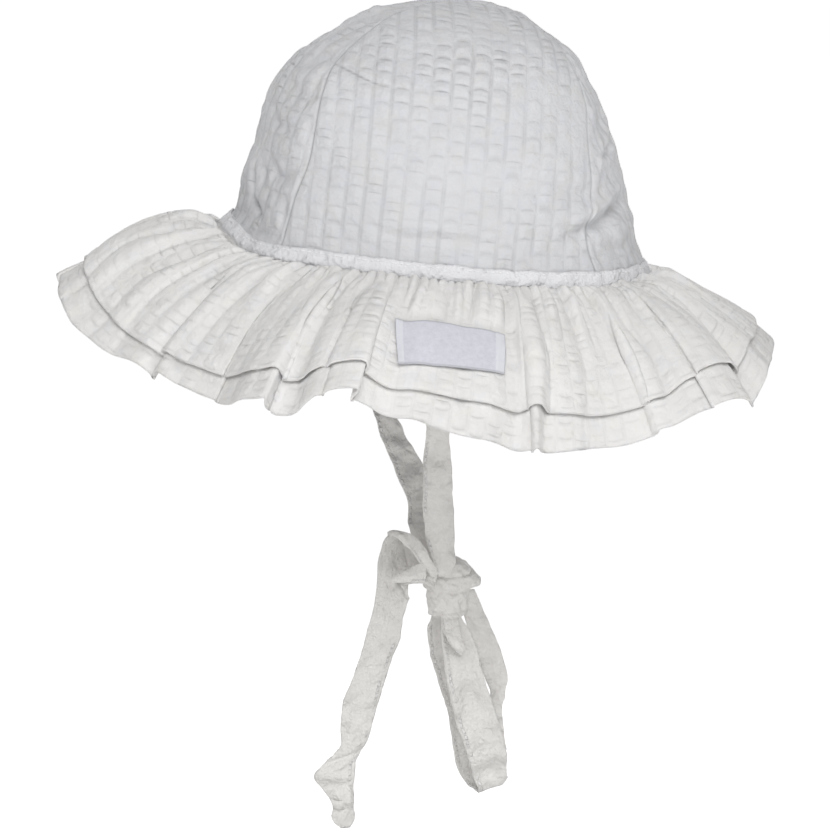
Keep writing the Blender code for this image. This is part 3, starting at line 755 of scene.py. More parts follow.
def seam_angles(share):
    """The four seam angles in radians at a height share, in order round the hat."""
    rows = np.array(SEAM_LEVELS)
    front, back = np.moveaxis(np.radians(smooth(rows[:, 0], rows[:, 1:], share)), -1, 0)
    return np.stack((front, back, TURN - back, TURN - front), -1)


def around(angle, middle_deg):
    """The signed way round from an angle in degrees, in radians."""
    return (angle - math.radians(middle_deg) + math.pi) % TURN - math.pi


def periodic(table, angle):
    """A table's value at an angle in radians: its rows close round the hat, in degrees and millimetres."""
    rows = np.array(table) * np.array((math.radians(1), MM))
    turn = np.array((TURN, 0.0))
    rows = np.concatenate((rows[-2:] - turn, rows, rows[:2] + turn))
    first = rows[0, 0]
    return monotone(rows, (angle - first) % TURN + first)[..., 0]


def crown_outline(sizes, climb):
    """Height and the reaches to front, back and side at each climb, a smooth curve through the levels."""
    half = np.array((sizes.crown_height, sizes.band_length / 2, sizes.band_length / 2, sizes.band_width / 2))
    rows = np.array(CROWN_LEVELS) * half
    steps = np.hypot(np.diff(rows[:, 0]), np.diff(rows[:, 1:].mean(axis=1)))
    way = np.concatenate(((0.0,), np.cumsum(steps)))
    return np.moveaxis(smooth(way / way[-1], rows, climb), -1, 0)


def crown_surface(sizes, angle, climb, grow=0.0):
    """The crown's smooth outer face.

    At each climb the outline gives a height and reaches; a point is the oval of those reaches at the angle,
    moved out by a ridge that fades away from the seams, in by Gaussian dents, and down towards its foot by
    the band's drop.
    """
    height, front, back, side = crown_outline(sizes, climb)
    seams = seam_angles(np.clip(height / sizes.crown_height, 0, 1))
    off = np.abs((seams - angle[..., None] + math.pi) % TURN - math.pi).min(axis=-1)
    fade = np.clip(side / (sizes.band_width / 2), 0, 1)
    ridge = sizes.seam_ridge * fade * (np.exp(-off / sizes.seam_spread) - 0.3)
    dent = np.zeros_like(ridge)
    for middle, level, wide, tall, depth in CROWN_DENTS:
        away = (around(angle, middle) / math.radians(wide)) ** 2
        away = away + ((height / sizes.crown_height - level) / tall) ** 2
        dent = dent + sizes.dent_depth * depth * np.exp(-away)
    reach = np.where(np.cos(angle) > 0, front, back)
    level = height - periodic(BAND_DROPS, angle) * (1 - ease(2 * height / sizes.crown_height))
    point = np.stack((side * np.sin(angle), -reach * np.cos(angle), level), -1)
    return point + band_outward(sizes, angle) * (ridge - dent + grow)[..., None]


def climb_at(sizes, height):
    """The climb at which the crown's outline reaches a height."""
    climbs = np.linspace(0, 1, 400)
    return np.interp(height, crown_outline(sizes, climbs)[0], climbs)


def crease_relief(sizes, angle, height):
    """How far the creases press the crown in or lift it.

    Each crease is a broken line in a flat map of angle times mean radius against height. Beside it the cloth
    goes in by a Gaussian of the distance, and above it out by a wider one, both tapered to the line's ends.
    Also gives the distance to the nearest crease that is pressed sharp.
    """
    radius = (sizes.band_length + sizes.band_width) / 4
    relief = np.zeros(height.shape)
    pressed = np.ones(height.shape)
    for depth, width, lip, points in CROWN_CREASES:
        line = np.array(points)
        x = around(angle, line[0, 0]) * radius
        along = np.radians(line[:, 0] - line[0, 0]) * radius
        level = line[:, 1] * sizes.crown_height
        nearest = np.full(height.shape, 1e9)
        signed = np.zeros(height.shape)
        share = np.zeros(height.shape)
        parts = len(line) - 1
        for step in range(parts):
            run = np.array((along[step + 1] - along[step], level[step + 1] - level[step]))
            long = np.hypot(*run)
            run = run / long
            dx = x - along[step]
            dy = height - level[step]
            on = np.clip(dx * run[0] + dy * run[1], 0, long)
            apart = np.hypot(dx - on * run[0], dy - on * run[1])
            closer = apart < nearest
            nearest = np.where(closer, apart, nearest)
            above = dy * abs(run[0]) - dx * run[1] * np.sign(run[0] + 1e-9)
            signed = np.where(closer, above, signed)
            share = np.where(closer, (step + on / long) / parts, share)
        wide = width * MM
        taper = np.sqrt(np.clip(np.sin(math.pi * np.clip(share, 0.02, 0.98)), 0, 1))
        groove = -np.exp(-(nearest / wide) ** 2)
        rim = lip * np.exp(-((signed - 2.2 * wide) / (1.8 * wide)) ** 2)
        rim = rim * np.exp(-(nearest / (4.5 * wide)) ** 2)
        relief = relief + depth * MM * taper * (groove + rim)
        if width < SHARP_CREASE:
            pressed = np.minimum(pressed, nearest + (1.15 - taper) * MM)
    return relief, pressed


def pucker_relief(u, v, strength, seed):
    """Puckers of the weave, u and v counted in stripe pitches.

    Between two flat stripes the cloth swells as a sine, and along it in pillows: the root of a sine whose
    steps wander, each pillow with a height of its own.
    """
    band = np.floor(u)
    swell = np.sin(math.pi * (u - band)) ** 0.8
    along = 1.45 * v + 0.8 * drift(0.9 * v + 5.0 * band, seed) + 7.0 * chance(band, seed)
    pillow = np.floor(along)
    hump = np.sqrt(np.abs(np.sin(math.pi * along)) + 0.02)
    high = 0.25 + 0.75 * chance(pillow + 31.0 * band, seed + 1)
    return strength * swell * hump * high


def fold_at(angle):
    """Sweep, droop and share of reach of the line of cloth that starts at an angle."""
    rows = np.array(BRIM_FOLDS)
    rows[:, :3] = np.radians(rows[:, :3])
    turn = np.array((TURN, 0.0, 0.0, 0.0))
    rows = np.concatenate((rows[-2:] - turn, rows, rows[:2] + turn))
    first = rows[0, 0]
    fold = monotone(rows, (angle - first) % TURN + first)
    return fold[..., 0], fold[..., 1], fold[..., 2]


def brim_surface(sizes, angle, run):
    """The face between the ruffles: from the band each line of cloth is an arc in an upright plane.

    The arc leaves half the arch less steeply than its droop and ends half the arch steeper at the hem. It
    starts lower by the band's drop, and a Gaussian of the angle times a sine of the run lifts the front.
    """
    sweep, droop, reach = fold_at(angle)
    radius = reach * sizes.lower_depth / sizes.arch
    start = droop - sizes.arch / 2
    end = start + sizes.arch * run / sizes.lower_depth
    out = radius * (np.sin(end) - np.sin(start))
    below = radius * (np.cos(start) - np.cos(end)) + sizes.seam_fall
    below = below + periodic(BAND_DROPS, angle) * (1 - ease(run / DROP_RUN))
    bulge = np.exp(-(around(angle, -3.0) / 0.23) ** 2)
    bulge = bulge * np.sin(math.pi * np.clip(run / sizes.upper_depth, 0, 1))
    below = below - sizes.front_bulge * bulge
    level = np.cos(sweep)[..., None] * band_outward(sizes, angle)
    level = level + np.sin(sweep)[..., None] * band_along(sizes, angle)
    return band_point(sizes, angle) + out[..., None] * level - below[..., None] * np.array((0.0, 0.0, 1.0))


def brim_axes(sizes, angle, run):
    """The direction square to that face, up and out, and the one along it towards growing angles."""
    small = math.radians(0.7)
    step = sizes.lower_depth / 100
    along = brim_surface(sizes, angle + small, run) - brim_surface(sizes, angle - small, run)
    down = brim_surface(sizes, angle, run + step) - brim_surface(sizes, angle, np.maximum(run - step, 0.0))
    return unit(np.cross(down, along)), unit(along)


def flat_way(sizes, angle):
    """The length of cloth from angle 0 to an angle, measured along the lower hem."""
    fine = np.linspace(0, TURN, 4001)
    way = travel(brim_surface(sizes, fine, sizes.lower_depth + 0 * fine), 0)
    return np.interp(angle % TURN, fine, way) + np.floor(angle / TURN) * way[-1]


def hem_angles(sizes, columns):
    """Band angles whose lines of cloth end evenly along the lower hem."""
    fine = np.linspace(0, TURN, 4001)
    way = flat_way(sizes, fine * (1 - 1e-9))
    return np.interp(np.linspace(0, way[-1], columns, endpoint=False), way, fine)


def rib(place, count, seed, short, long):
    """Gathered ribs side by side round the hat, with the length in metres after which each dies out.

    A rib is the root of a sine between two sharp valleys, and has a height and a length of its own.
    """
    place = place + 0.42 * drift(place * 0.5, seed, count / 2)
    index = np.floor(place) % count
    shape = np.abs(np.sin(math.pi * place)) ** 0.5
    high = 0.25 + 0.75 * chance(index, seed)
    reach = short + (long - short) * chance(index, seed + 1) ** 2
    return shape * high, reach


def gather_relief(cloth, angle, run, seed):
    """Gathers in units of length: fine ribs that die out soon, and soft folds that rise as they fade."""
    lean = 0.5 * wander(angle * 9, run / 0.02, seed + 8) * ease(run / 0.01)
    turns = angle / TURN
    fine, reach = rib(turns * cloth.gather_count + lean, cloth.gather_count, seed, *RIB_RUNS)
    broad, far = rib(turns * cloth.fold_count + 0.5 * lean, cloth.fold_count, seed + 5, *FOLD_RUNS)
    start = 0.35 + 0.65 * ease(run / 0.003)
    near = fine * start * np.exp(-(run / reach) ** 2)
    wide = 1.3 * broad * ease(run / 0.014) * np.exp(-(run / far) ** 2)
    return cloth.gather * (near + wide)


def tuck_shift(angle, run):
    """How far tucks slide the cloth along the brim, and how far they lift it.

    With x the way from a tuck's middle in half widths, the slide is minus x times a Gaussian, which brings
    both sides together and past each other, and the lift is minus the hyperbolic tangent of x, fading
    outwards, less a Gaussian for the line that sinks.
    """
    slide = np.zeros_like(run)
    lift = np.zeros_like(run)
    for middle, width, lap, rise, sink, begin, full in BRIM_TUCKS:
        x = around(angle, middle) / math.radians(width)
        grow = ease((run - begin * MM) / ((full - begin) * MM))
        slide = slide - lap * MM * grow * x * np.exp(0.5 - x * x / 2)
        step = rise * np.tanh(1.5 * x) * np.exp(-x * x / 10) + sink * np.exp(-x * x)
        lift = lift - MM * grow * step
    return slide, lift


def layer_room(sizes, run):
    """The room between the two ruffles: a fixed part, and a part that grows evenly to the hem."""
    return LAYER_ROOM + sizes.hem_gap * run / sizes.lower_depth


def cloth_mesh(name, grids, finish, wall, closed=False):
    """One mesh object from one or more grids of points, each with its own map, given a wall of cloth.

    Neighbouring points make four-sided faces, and a closed grid's last column joins its first. A grid may
    also give each point's distance to a seam or sharp crease, which the material darkens with painted shade.
    """
    verts = []
    seams = []
    faces = []
    maps = []
    count = 0
    for points, u, v, *near in grids:
        rows, columns = points.shape[:2]
        seams.append((near[0] / MM if near else np.full((rows, columns), NO_SEAM)).ravel())
        index = count + np.arange(rows * columns).reshape(rows, columns)
        across, along, _ = np.broadcast_arrays(u, v, points[..., 0])
        if closed:
            index = np.concatenate((index, index[:, :1]), axis=1)
            gap = across[:, -1:] + (across[:, -1:] - across[:, -2:-1])
            across = np.concatenate((across, gap), axis=1)
            along = np.concatenate((along, along[:, :1]), axis=1)
        corners = (np.s_[:-1, :-1], np.s_[:-1, 1:], np.s_[1:, 1:], np.s_[1:, :-1])
        faces.append(np.stack([index[part].ravel() for part in corners], -1))
        flat = [np.stack((across[part].ravel(), along[part].ravel()), -1) for part in corners]
        maps.append(np.stack(flat, 1).reshape(-1, 2))
        verts.append(points.reshape(-1, 3))
        count += rows * columns
    verts = np.concatenate(verts)
    faces = np.concatenate(faces)
    mesh = bpy.data.meshes.new(name)
    mesh.vertices.add(len(verts))
    mesh.vertices.foreach_set("co", verts.astype(np.float32).ravel())
    mesh.loops.add(faces.size)
    mesh.loops.foreach_set("vertex_index", faces.astype(np.int32).ravel())
    mesh.polygons.add(len(faces))
    mesh.polygons.foreach_set("loop_start", np.arange(0, faces.size, 4, dtype=np.int32))
    mesh.update(calc_edges=True)
    layer = mesh.uv_layers.new(name="weave")
    layer.data.foreach_set("uv", np.concatenate(maps).astype(np.float32).ravel())
    seam = mesh.attributes.new("seam", "FLOAT", "POINT")
    seam.data.foreach_set("value", np.concatenate(seams).astype(np.float32))
    mesh.shade_smooth()
    mesh.materials.append(finish)
    made = bpy.data.objects.new(name, mesh)
    bpy.context.scene.collection.objects.link(made)
    if wall:
        thick = made.modifiers.new("wall", "SOLIDIFY")
        thick.thickness = wall
        thick.offset = 0.0
        thick.use_even_offset = False
    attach(made, BODY)
    return made


class Shader:
    """A material under construction: adds nodes and joins them."""

    def __init__(self, name, roughness):
        self.made = bpy.data.materials.new(name)
        self.made.use_nodes = True
        self.nodes = self.made.node_tree.nodes
        self.links = self.made.node_tree.links
        self.cloth = self.nodes["Principled BSDF"]
        self.cloth.inputs["Roughness"].default_value = roughness
        self.cloth.inputs["Sheen Weight"].default_value = 0.12
        self.cloth.inputs["Sheen Roughness"].default_value = 0.6
        self.cloth.inputs["Specular IOR Level"].default_value = 0.25
        self.place = self.nodes.new("ShaderNodeTexCoord")
        weave = self.nodes.new("ShaderNodeUVMap")
        weave.uv_map = "weave"
        split = self.nodes.new("ShaderNodeSeparateXYZ")
        self.links.new(weave.outputs["UV"], split.inputs["Vector"])
        self.u = split.outputs["X"]
        self.v = split.outputs["Y"]

    def math(self, kind, first, second=None, third=None):
        """A Math node of the first two or three values, each a socket or a number."""
        node = self.nodes.new("ShaderNodeMath")
        node.operation = kind
        for socket, value in zip(node.inputs, (first, second, third)):
            if isinstance(value, bpy.types.NodeSocket):
                self.links.new(value, socket)
            elif value is not None:
                socket.default_value = value
        return node.outputs["Value"]

    def times(self, first, second):
        """The product of two values, each a socket or a number."""
        return self.math("MULTIPLY", first, second)

    def noise(self, scale, detail, rough=0.55, seed=0.0):
        """A noise between 0 and 1 in object coordinates, with so many cells a metre."""
        node = self.nodes.new("ShaderNodeTexNoise")
        node.noise_dimensions = "4D"
        node.inputs["W"].default_value = seed
        node.inputs["Scale"].default_value = scale
        node.inputs["Detail"].default_value = detail
        node.inputs["Roughness"].default_value = rough
        self.links.new(self.place.outputs["Object"], node.inputs["Vector"])
        return node.outputs["Fac"]

    def span(self, value, low, high, start=0.0, end=1.0):
        """A value's range from low to high stretched smoothly to start and end."""
        node = self.nodes.new("ShaderNodeMapRange")
        node.interpolation_type = "SMOOTHSTEP"
        self.links.new(value, node.inputs["Value"])
        for name, number in (("From Min", low), ("From Max", high), ("To Min", start), ("To Max", end)):
            node.inputs[name].default_value = number
        return node.outputs["Result"]

    def mix(self, share, first, second):
        """A colour between two, each a socket or a colour."""
        node = self.nodes.new("ShaderNodeMix")
        node.data_type = "RGBA"
        sockets = (node.inputs["Factor"], node.inputs[6], node.inputs[7])
        for socket, value in zip(sockets, (share, first, second)):
            if isinstance(value, bpy.types.NodeSocket):
                self.links.new(value, socket)
            elif isinstance(value, float):
                socket.default_value = value
            else:
                socket.default_value = (*value, 1.0)
        return node.outputs[2]

    def seam(self, base, colour):
        """Painted shade: the base colour darkened along the seams and sharp creases that the piece's
        attribute gives the distance to.
        """
        node = self.nodes.new("ShaderNodeAttribute")
        node.attribute_name = "seam"
        line = self.span(node.outputs["Fac"], 0.20, 0.85, 0.75, 0.0)
        return self.mix(line, base, shade(colour, 0.55))

    def stripe(self, value, width, soft):
        """1 on the whole numbers of a value, fading to 0 outside half the width."""
        near = self.math("PINGPONG", value, 0.5)
        return self.span(near, width / 2, width / 2 + soft, 1.0, 0.0)

    def finish(self, colour, height, depth):
        """Joins the colour and a bump of this height, and gives the material."""
        self.links.new(colour, self.cloth.inputs["Base Color"])
        bump = self.nodes.new("ShaderNodeBump")
        bump.inputs["Strength"].default_value = 1.0
        bump.inputs["Distance"].default_value = depth
        self.links.new(height, bump.inputs["Height"])
        self.links.new(bump.outputs["Normal"], self.cloth.inputs["Normal"])
        return self.made


def shade(colour, share):
    """A colour times a share."""
    return tuple(part * share for part in colour)


def tinted(colour, *shares):
    """A colour with each of its three parts times a share of its own."""
    return tuple(part * share for part, share in zip(colour, shares))


def seersucker(name, colour, lines, pillows, top):
    """Seersucker: soft grey stripes, each edged by two thin lines, and pillows of puckered cloth between.

    The map's u and v count stripe pitches, a stripe lying on each whole u. Pillows are whole steps of v times
    1.25, shifted by a noise of the band and of v, and arched across the band. Each has a strength of its own,
    and the crease between two pillows is darkened with painted shade. Blotches, and warm and cool specks, lie
    over both. Lines and pillows scale the two parts. With top, pillows and their painted shade are strongest
    on the crown's upper part.
    """
    made = Shader(name, 0.92)
    edge = made.math("PINGPONG", made.u, 0.5)
    band = made.math("FLOOR", made.u)
    shift = made.nodes.new("ShaderNodeTexNoise")
    shift.noise_dimensions = "1D"
    shift.inputs["Scale"].default_value = 1.0
    shift.inputs["Detail"].default_value = 1.0
    made.links.new(made.math("MULTIPLY_ADD", band, 0.37, made.times(made.v, 0.45)), shift.inputs["W"])
    arch = made.times(made.math("POWER", made.math("SUBTRACT", 0.5, edge), 2.0), 0.45)
    step = made.math("MULTIPLY_ADD", made.v, 1.25, made.math("MULTIPLY_ADD", shift.outputs["Fac"], 2.4, arch))
    cell = made.nodes.new("ShaderNodeTexWhiteNoise")
    cell.noise_dimensions = "2D"
    corner = made.nodes.new("ShaderNodeCombineXYZ")
    made.links.new(made.math("FLOOR", step), corner.inputs["X"])
    made.links.new(band, corner.inputs["Y"])
    made.links.new(corner.outputs["Vector"], cell.inputs["Vector"])
    own = made.span(cell.outputs["Value"], 0.0, 1.0, 0.25, 1.0)
    patch = made.span(made.noise(28.0, 2.0, seed=12.0), 0.36, 0.62, 0.45, 1.0)
    strong = made.times(patch, own)
    if top:
        split = made.nodes.new("ShaderNodeSeparateXYZ")
        made.links.new(made.place.outputs["Object"], split.inputs["Vector"])
        strong = made.times(strong, made.span(split.outputs["Z"], 0.046, 0.072, 0.80, 1.4))
    inner = made.span(edge, 0.06, 0.22)
    crease = made.math("PINGPONG", step, 0.5)
    # Painted shade: a mask for the crease between two pillows, strongest where the pillows are.
    valley = made.times(made.times(made.span(crease, 0.0, 0.20, 1.0, 0.0), inner), strong)
    pair = made.span(made.math("ABSOLUTE", made.math("SUBTRACT", edge, 0.065)), 0.012, 0.040, 1.0, 0.0)
    seen = made.span(made.noise(40.0, 2.0, seed=2.0), 0.36, 0.60, 0.15, 1.0)
    base = made.mix(made.times(made.times(pair, seen), 0.45 * lines), colour, shade(colour, 0.72))
    flat = made.times(made.span(edge, 0.05, 0.20, 1.0, 0.0), made.times(seen, 1.1 * lines))
    base = made.mix(flat, base, shade(colour, 0.80))
    # Painted shade darkens the creases between pillows.
    base = made.mix(made.times(valley, 0.65 * pillows), base, shade(colour, 0.68))
    blotch = made.span(made.noise(55.0, 5.0, 0.65, seed=1.0), 0.38, 0.66)
    base = made.mix(made.times(blotch, 0.30), base, shade(colour, 0.84))
    warm = made.span(made.noise(130.0, 3.0, 0.6, seed=4.0), 0.45, 0.70)
    base = made.mix(made.times(warm, 0.35), base, tinted(colour, 0.97, 0.95, 0.90))
    cool = made.span(made.noise(150.0, 3.0, 0.6, seed=9.0), 0.48, 0.72)
    base = made.mix(made.times(cool, 0.30), base, tinted(colour, 0.92, 0.94, 1.0))
    threads = made.times(
        made.math("SINE", made.times(made.u, 19 * TURN)),
        made.math("SINE", made.times(made.v, 19 * TURN)),
    )
    # Painted shade along the seams and sharp creases.
    base = made.seam(base, colour)
    hump = made.math("POWER", made.times(crease, 2.0), 0.6)
    swell = made.times(made.math("POWER", made.times(edge, 2.0), 0.7), hump)
    height = made.times(made.times(swell, strong), 1.6 * pillows)
    height = made.math("MULTIPLY_ADD", threads, 0.05, height)
    height = made.math("MULTIPLY_ADD", made.noise(800.0, 4.0, 0.6, seed=3.0), 0.55, height)
    height = made.math("MULTIPLY_ADD", made.noise(240.0, 2.0, seed=6.0), 1.3, height)
    return made.finish(base, height, 0.00070)


def plain_cotton(name, colour, stitch_at, mottle):
    """Plain cotton, folded and sewn: mottled, creased, with stitches along the map's u at stitch_at.

    The map's u runs from 0 to 1 across the cloth and v counts stitches along it. A stitch is a short light
    dash with a hole before it, darkened with painted shade.
    """
    made = Shader(name, 0.93)
    blotch = made.span(made.noise(70.0, 5.0, 0.65, seed=1.5), 0.34, 0.68)
    base = made.mix(made.times(blotch, mottle), colour, shade(colour, 0.72))
    off = made.math("ABSOLUTE", made.math("SUBTRACT", made.u, stitch_at))
    row = made.span(off, 0.025, 0.045, 1.0, 0.0)
    dash = made.times(row, made.stripe(made.v, 0.55, 0.08))
    hole = made.times(row, made.math("SUBTRACT", 1.0, made.stripe(made.v, 0.78, 0.08)))
    worn = made.span(made.noise(90.0, 2.0, seed=7.0), 0.38, 0.60)
    dash = made.times(dash, worn)
    hole = made.times(hole, worn)
    base = made.mix(made.times(dash, 0.35), base, (0.90, 0.90, 0.92))
    # Painted shade in each stitch hole.
    base = made.mix(made.times(hole, 0.22), base, shade(colour, 0.5))
    crinkle = made.noise(700.0, 4.0, 0.6, seed=3.0)
    lumps = made.times(made.noise(150.0, 3.0, seed=6.0), 4.5)
    height = made.math("ADD", made.math("ADD", crinkle, lumps), made.times(dash, 0.6))
    return made.finish(base, made.math("SUBTRACT", height, made.times(hole, 0.3)), 0.00080)


def woven_label(name, colour):
    """The label: a grey woven middle and white folded ends.

    The map's u runs from 0 to 1 along the label and v from 0 to 1 up it.
    """
    made = Shader(name, 0.7)
    end = made.math("MINIMUM", made.u, made.math("SUBTRACT", 1.0, made.u))
    middle = made.span(end, 0.070, 0.082)
    grain = made.noise(520.0, 3.0, 0.7, seed=2.5)
    grey = made.mix(grain, shade(colour, 0.82), shade(colour, 1.16))
    white = made.mix(made.noise(420.0, 3.0, 0.7, seed=8.0), (0.82, 0.83, 0.90), (0.94, 0.95, 1.0))
    base = made.mix(middle, white, grey)
    rim = made.math("MINIMUM", made.v, made.math("SUBTRACT", 1.0, made.v))
    base = made.mix(made.span(rim, 0.0, 0.05, 0.45, 0.0), base, shade(colour, 0.45))
    rows = made.math("SINE", made.times(made.v, 62 * TURN))
    lines = made.math("SINE", made.times(made.u, 120 * TURN))
    height = made.math("MULTIPLY_ADD", rows, 0.5, made.times(lines, 0.3))
    return made.finish(base, made.math("ADD", height, grain), 0.00012)


def gore(sizes, cloth, name, node, first, last, seed, limp, finish):
    """One gore of the crown between two seams.

    Columns run from seam to seam, closest beside the seams, and rows climb from the foot to the top. The
    smooth face moves out by its puckers, by its creases and by limp lumps, all fading at the seams, then by
    a Gaussian for the pressed edge, and in by one at the seam. Stripes count from the gore's middle angle.
    """
    columns, rows = GORE_GRID
    climb = np.linspace(climb_at(sizes, CROWN_FOOT), CROWN_TOP, rows)[:, None]
    level = crown_outline(sizes, climb)[0]
    seams = seam_angles(np.clip(level[:, 0] / sizes.crown_height, 0, 1))
    start = (seams[:, first % 4] - (TURN if first < 0 else 0.0))[:, None]
    end = seams[:, last % 4][:, None]
    share = np.linspace(0, 1, columns)[None, :]
    share = share - SEAM_CROWDING * np.sin(TURN * share) / TURN
    angle = start * (1 - share) + end * share
    smooth_face = crown_surface(sizes, angle, climb)
    height = np.broadcast_to(level, angle.shape)
    across = travel(smooth_face, 1)
    v = travel(smooth_face, 0)[:, columns // 2, None] / cloth.pitch
    middle = (start.mean() + end.mean()) / 2
    passed = np.clip((middle - angle[:, :-1]) / np.diff(angle, axis=1), 0, 1)
    stripe = (np.diff(across, axis=1) * passed).sum(axis=1)[:, None]
    u = (across - stripe) / cloth.pitch
    edge = np.minimum(across, across[:, -1:] - across)
    free = ease((height - 0.004) / 0.006) * ease(edge / 0.004)
    top = ease((height / sizes.crown_height - 0.62) / 0.25) * np.exp(-(around(angle, 88.0) / 0.75) ** 2)
    patch = 0.5 + 0.5 * wander(u * 0.22, v * 0.25, seed + 3)
    strength = cloth.pucker * (0.45 + 0.55 * patch + 0.9 * top) * free
    relief = pucker_relief(u, v, strength, seed)
    creases, pressed = crease_relief(sizes, angle, height)
    relief = relief + creases * ease(edge / 0.0015)
    lumps = wander(u * 0.50, v * 0.55, seed + 7) + 0.5 * wander(u * 1.3 + v, v * 1.1 - 0.4 * u, seed + 8)
    relief = relief + limp * free * lumps
    flattened = PRESSED_EDGE[0] * np.exp(-((edge - PRESSED_INSET) / PRESSED_EDGE[1]) ** 2)
    relief = relief + flattened - SEAM_GROOVE[0] * np.exp(-((edge / SEAM_GROOVE[1]) ** 2))
    points = smooth_face + grid_normal(smooth_face) * relief[..., None]
    # The seams and sharp creases are darkened in the material as painted shade.
    grid = (leaned(sizes, points), u, v, np.minimum(edge, pressed))
    made = cloth_mesh(name, [grid], finish, cloth.wall)
    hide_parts(node)
    return made


def binding_profile(sizes, angle, share):
    """The binding's face: the crown's foot moved out, swelling as a sine between its two edges.

    Share is 1 at the upper edge and 0 at the foot, and below 0 the face turns in and down under the foot.
    Fixed wanders round the hat ripple it out and up, and a Gaussian of the angle makes it narrower in front.
    """
    angle, share = np.broadcast_arrays(angle, share)
    under = np.minimum(share, 0)
    share = share * (1 - 0.35 * np.exp(-(around(angle, 10.0) / 0.45) ** 2) * (share > 0))
    climb = climb_at(sizes, CROWN_FOOT + np.maximum(share, 0) * sizes.binding_height)
    swell = 0.0008 + 0.0005 * np.sin(math.pi * np.clip(share, 0, 1)) ** 0.6 - 0.0012 * under ** 2
    ripple = 0.00020 * drift(angle / TURN * 190, 3, 190) + 0.00030 * drift(angle / TURN * 60, 4, 60)
    points = crown_surface(sizes, angle, climb, swell + ripple)
    points[..., 2] += 0.0020 * under + 0.0003 * drift(angle / TURN * 90, 6, 90)
    return points


def stitches(name, middles, outs, runs, finish):
    """A row of stitches: each a long ellipsoid, its length along the seam and its belly out of the cloth."""
    turn = np.linspace(0, TURN, STITCH_GRID[0])[None, :]
    lift = np.linspace(0, math.pi, STITCH_GRID[1])[:, None]
    along = (np.cos(lift) + 0 * turn) * STITCH_LENGTH / 2
    side = np.sin(lift) * np.cos(turn) * STITCH_RADIUS
    high = np.sin(lift) * np.sin(turn) * STITCH_RADIUS
    across = np.cross(outs, runs)
    shape = (
        along[None, :, :, None] * runs[:, None, None, :]
        + side[None, :, :, None] * across[:, None, None, :]
        + high[None, :, :, None] * outs[:, None, None, :]
    )
    points = middles[:, None, None, :] + shape
    grids = [(bead, 0.5, 0.5) for bead in points]
    made = cloth_mesh(name, grids, finish, 0.0)
    return made


def ruffle(sizes, cloth, name, node, side, depth, grid, seed, finish):
    """One ruffle: the brim's face moved to its side by half the room between the layers.

    Gathers, tucks, puckers and soft waves move it along its normal, tucks also along the brim, and a thin
    Gaussian groove runs where the hem is stitched. The hem wanders a little, and the lower one is trimmed.
    """
    columns, rows = grid
    angle = hem_angles(sizes, columns)[None, :]
    share = np.linspace(1, 0, rows)[:, None]
    flat = flat_way(sizes, angle)
    hem = HEM_WANDER * drift(flat / HEM_STRETCH, seed + 2)
    if side < 0:
        depth = depth - periodic(LOWER_TRIMS, angle)
    run = depth * share * (1 + hem * ease(share * 3 - 2)) + BRIM_START
    angle = np.broadcast_to(angle, run.shape)
    flat = np.broadcast_to(flat, run.shape)
    face = brim_surface(sizes, angle, run)
    normal, along = brim_axes(sizes, angle, run)
    under_label = label_cover(angle, run)
    folds = gather_relief(cloth, angle, run, GATHER_SEED) * (1 - 0.9 * under_label)
    slide, lift = tuck_shift(angle, run)
    u = flat / cloth.pitch
    v = run / cloth.pitch
    strength = 0.75 * cloth.pucker * ease((run - 0.006) / 0.02) * (1 - under_label)
    relief = folds + lift + side * pucker_relief(u, v, strength, seed + 9)
    waves = WAVE_DEPTH * ease(run / 0.02) * (1 - 0.8 * under_label)
    relief = relief + waves * wander(flat / 0.012, run / 0.03, WAVE_SEED)
    relief = relief - HEM_GROOVE * np.exp(-((depth - run - HEM_INSET) / HEM_STITCH) ** 2)
    lifted = side * layer_room(sizes, run) / 2 + relief
    points = face + normal * lifted[..., None] + along * slide[..., None]
    made = cloth_mesh(name, [(leaned(sizes, points), u, v)], finish, cloth.wall, closed=True)
    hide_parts(node)
    return made


def label_spot(across, down):
    """The angle and run of a spot on the label: across from -1 to 1 and down from 0 to 1."""
    middle = LABEL_MIDDLES[0] * (1 - down) + LABEL_MIDDLES[1] * down
    half = LABEL_HALVES[0] * (1 - down) + LABEL_HALVES[1] * down
    tilt = LABEL_TILTS[0] * (1 - down) + LABEL_TILTS[1] * down
    arch = 1.1 * (1 - across ** 2) * (1 - down)
    return np.radians(middle + half * across), (LABEL_TOP + LABEL_TALL * down - tilt * across - arch) * MM


def label_cover(angle, run):
    """1 under the label and a little beyond, fading to 0 further out."""
    down = (run / MM - LABEL_TOP) / LABEL_TALL
    across = around(angle, sum(LABEL_MIDDLES) / 2) / math.radians(LABEL_HALVES[0])
    return ease((1.3 - np.abs(across)) / 0.25) * ease((0.95 - np.abs(down - 0.5)) / 0.3)


def focal_length():
    """The lens that gives the photograph's scale on the sensor, in millimetres."""
    return FOCAL_PIXELS / PHOTO_PIXELS * SENSOR_MM


def view_axes(stage):
    """The camera's right, up and back directions, and its aim."""
    turn = stage.azimuth
    rise = stage.elevation
    back = np.array((math.sin(turn) * math.cos(rise), -math.cos(turn) * math.cos(rise), math.sin(rise)))
    right = np.array((math.cos(turn), math.sin(turn), 0.0))
    return right, np.cross(back, right), back, np.array(stage.aim)


def at_pixel(stage, x, y, side):
    """The point seen at a pixel of the photograph on the upright plane X = side: the ray cut by the plane."""
    right, up, back, aim = view_axes(stage)
    eye = aim + back * stage.distance
    x = np.asarray(x, float)[..., None]
    y = np.asarray(y, float)[..., None]
    ray = (x - PHOTO_PIXELS / 2) / FOCAL_PIXELS * right - (y - PHOTO_PIXELS / 2) / FOCAL_PIXELS * up - back
    far = (np.asarray(side, float) - eye[0]) / ray[..., 0]
    return eye + ray * far[..., None]


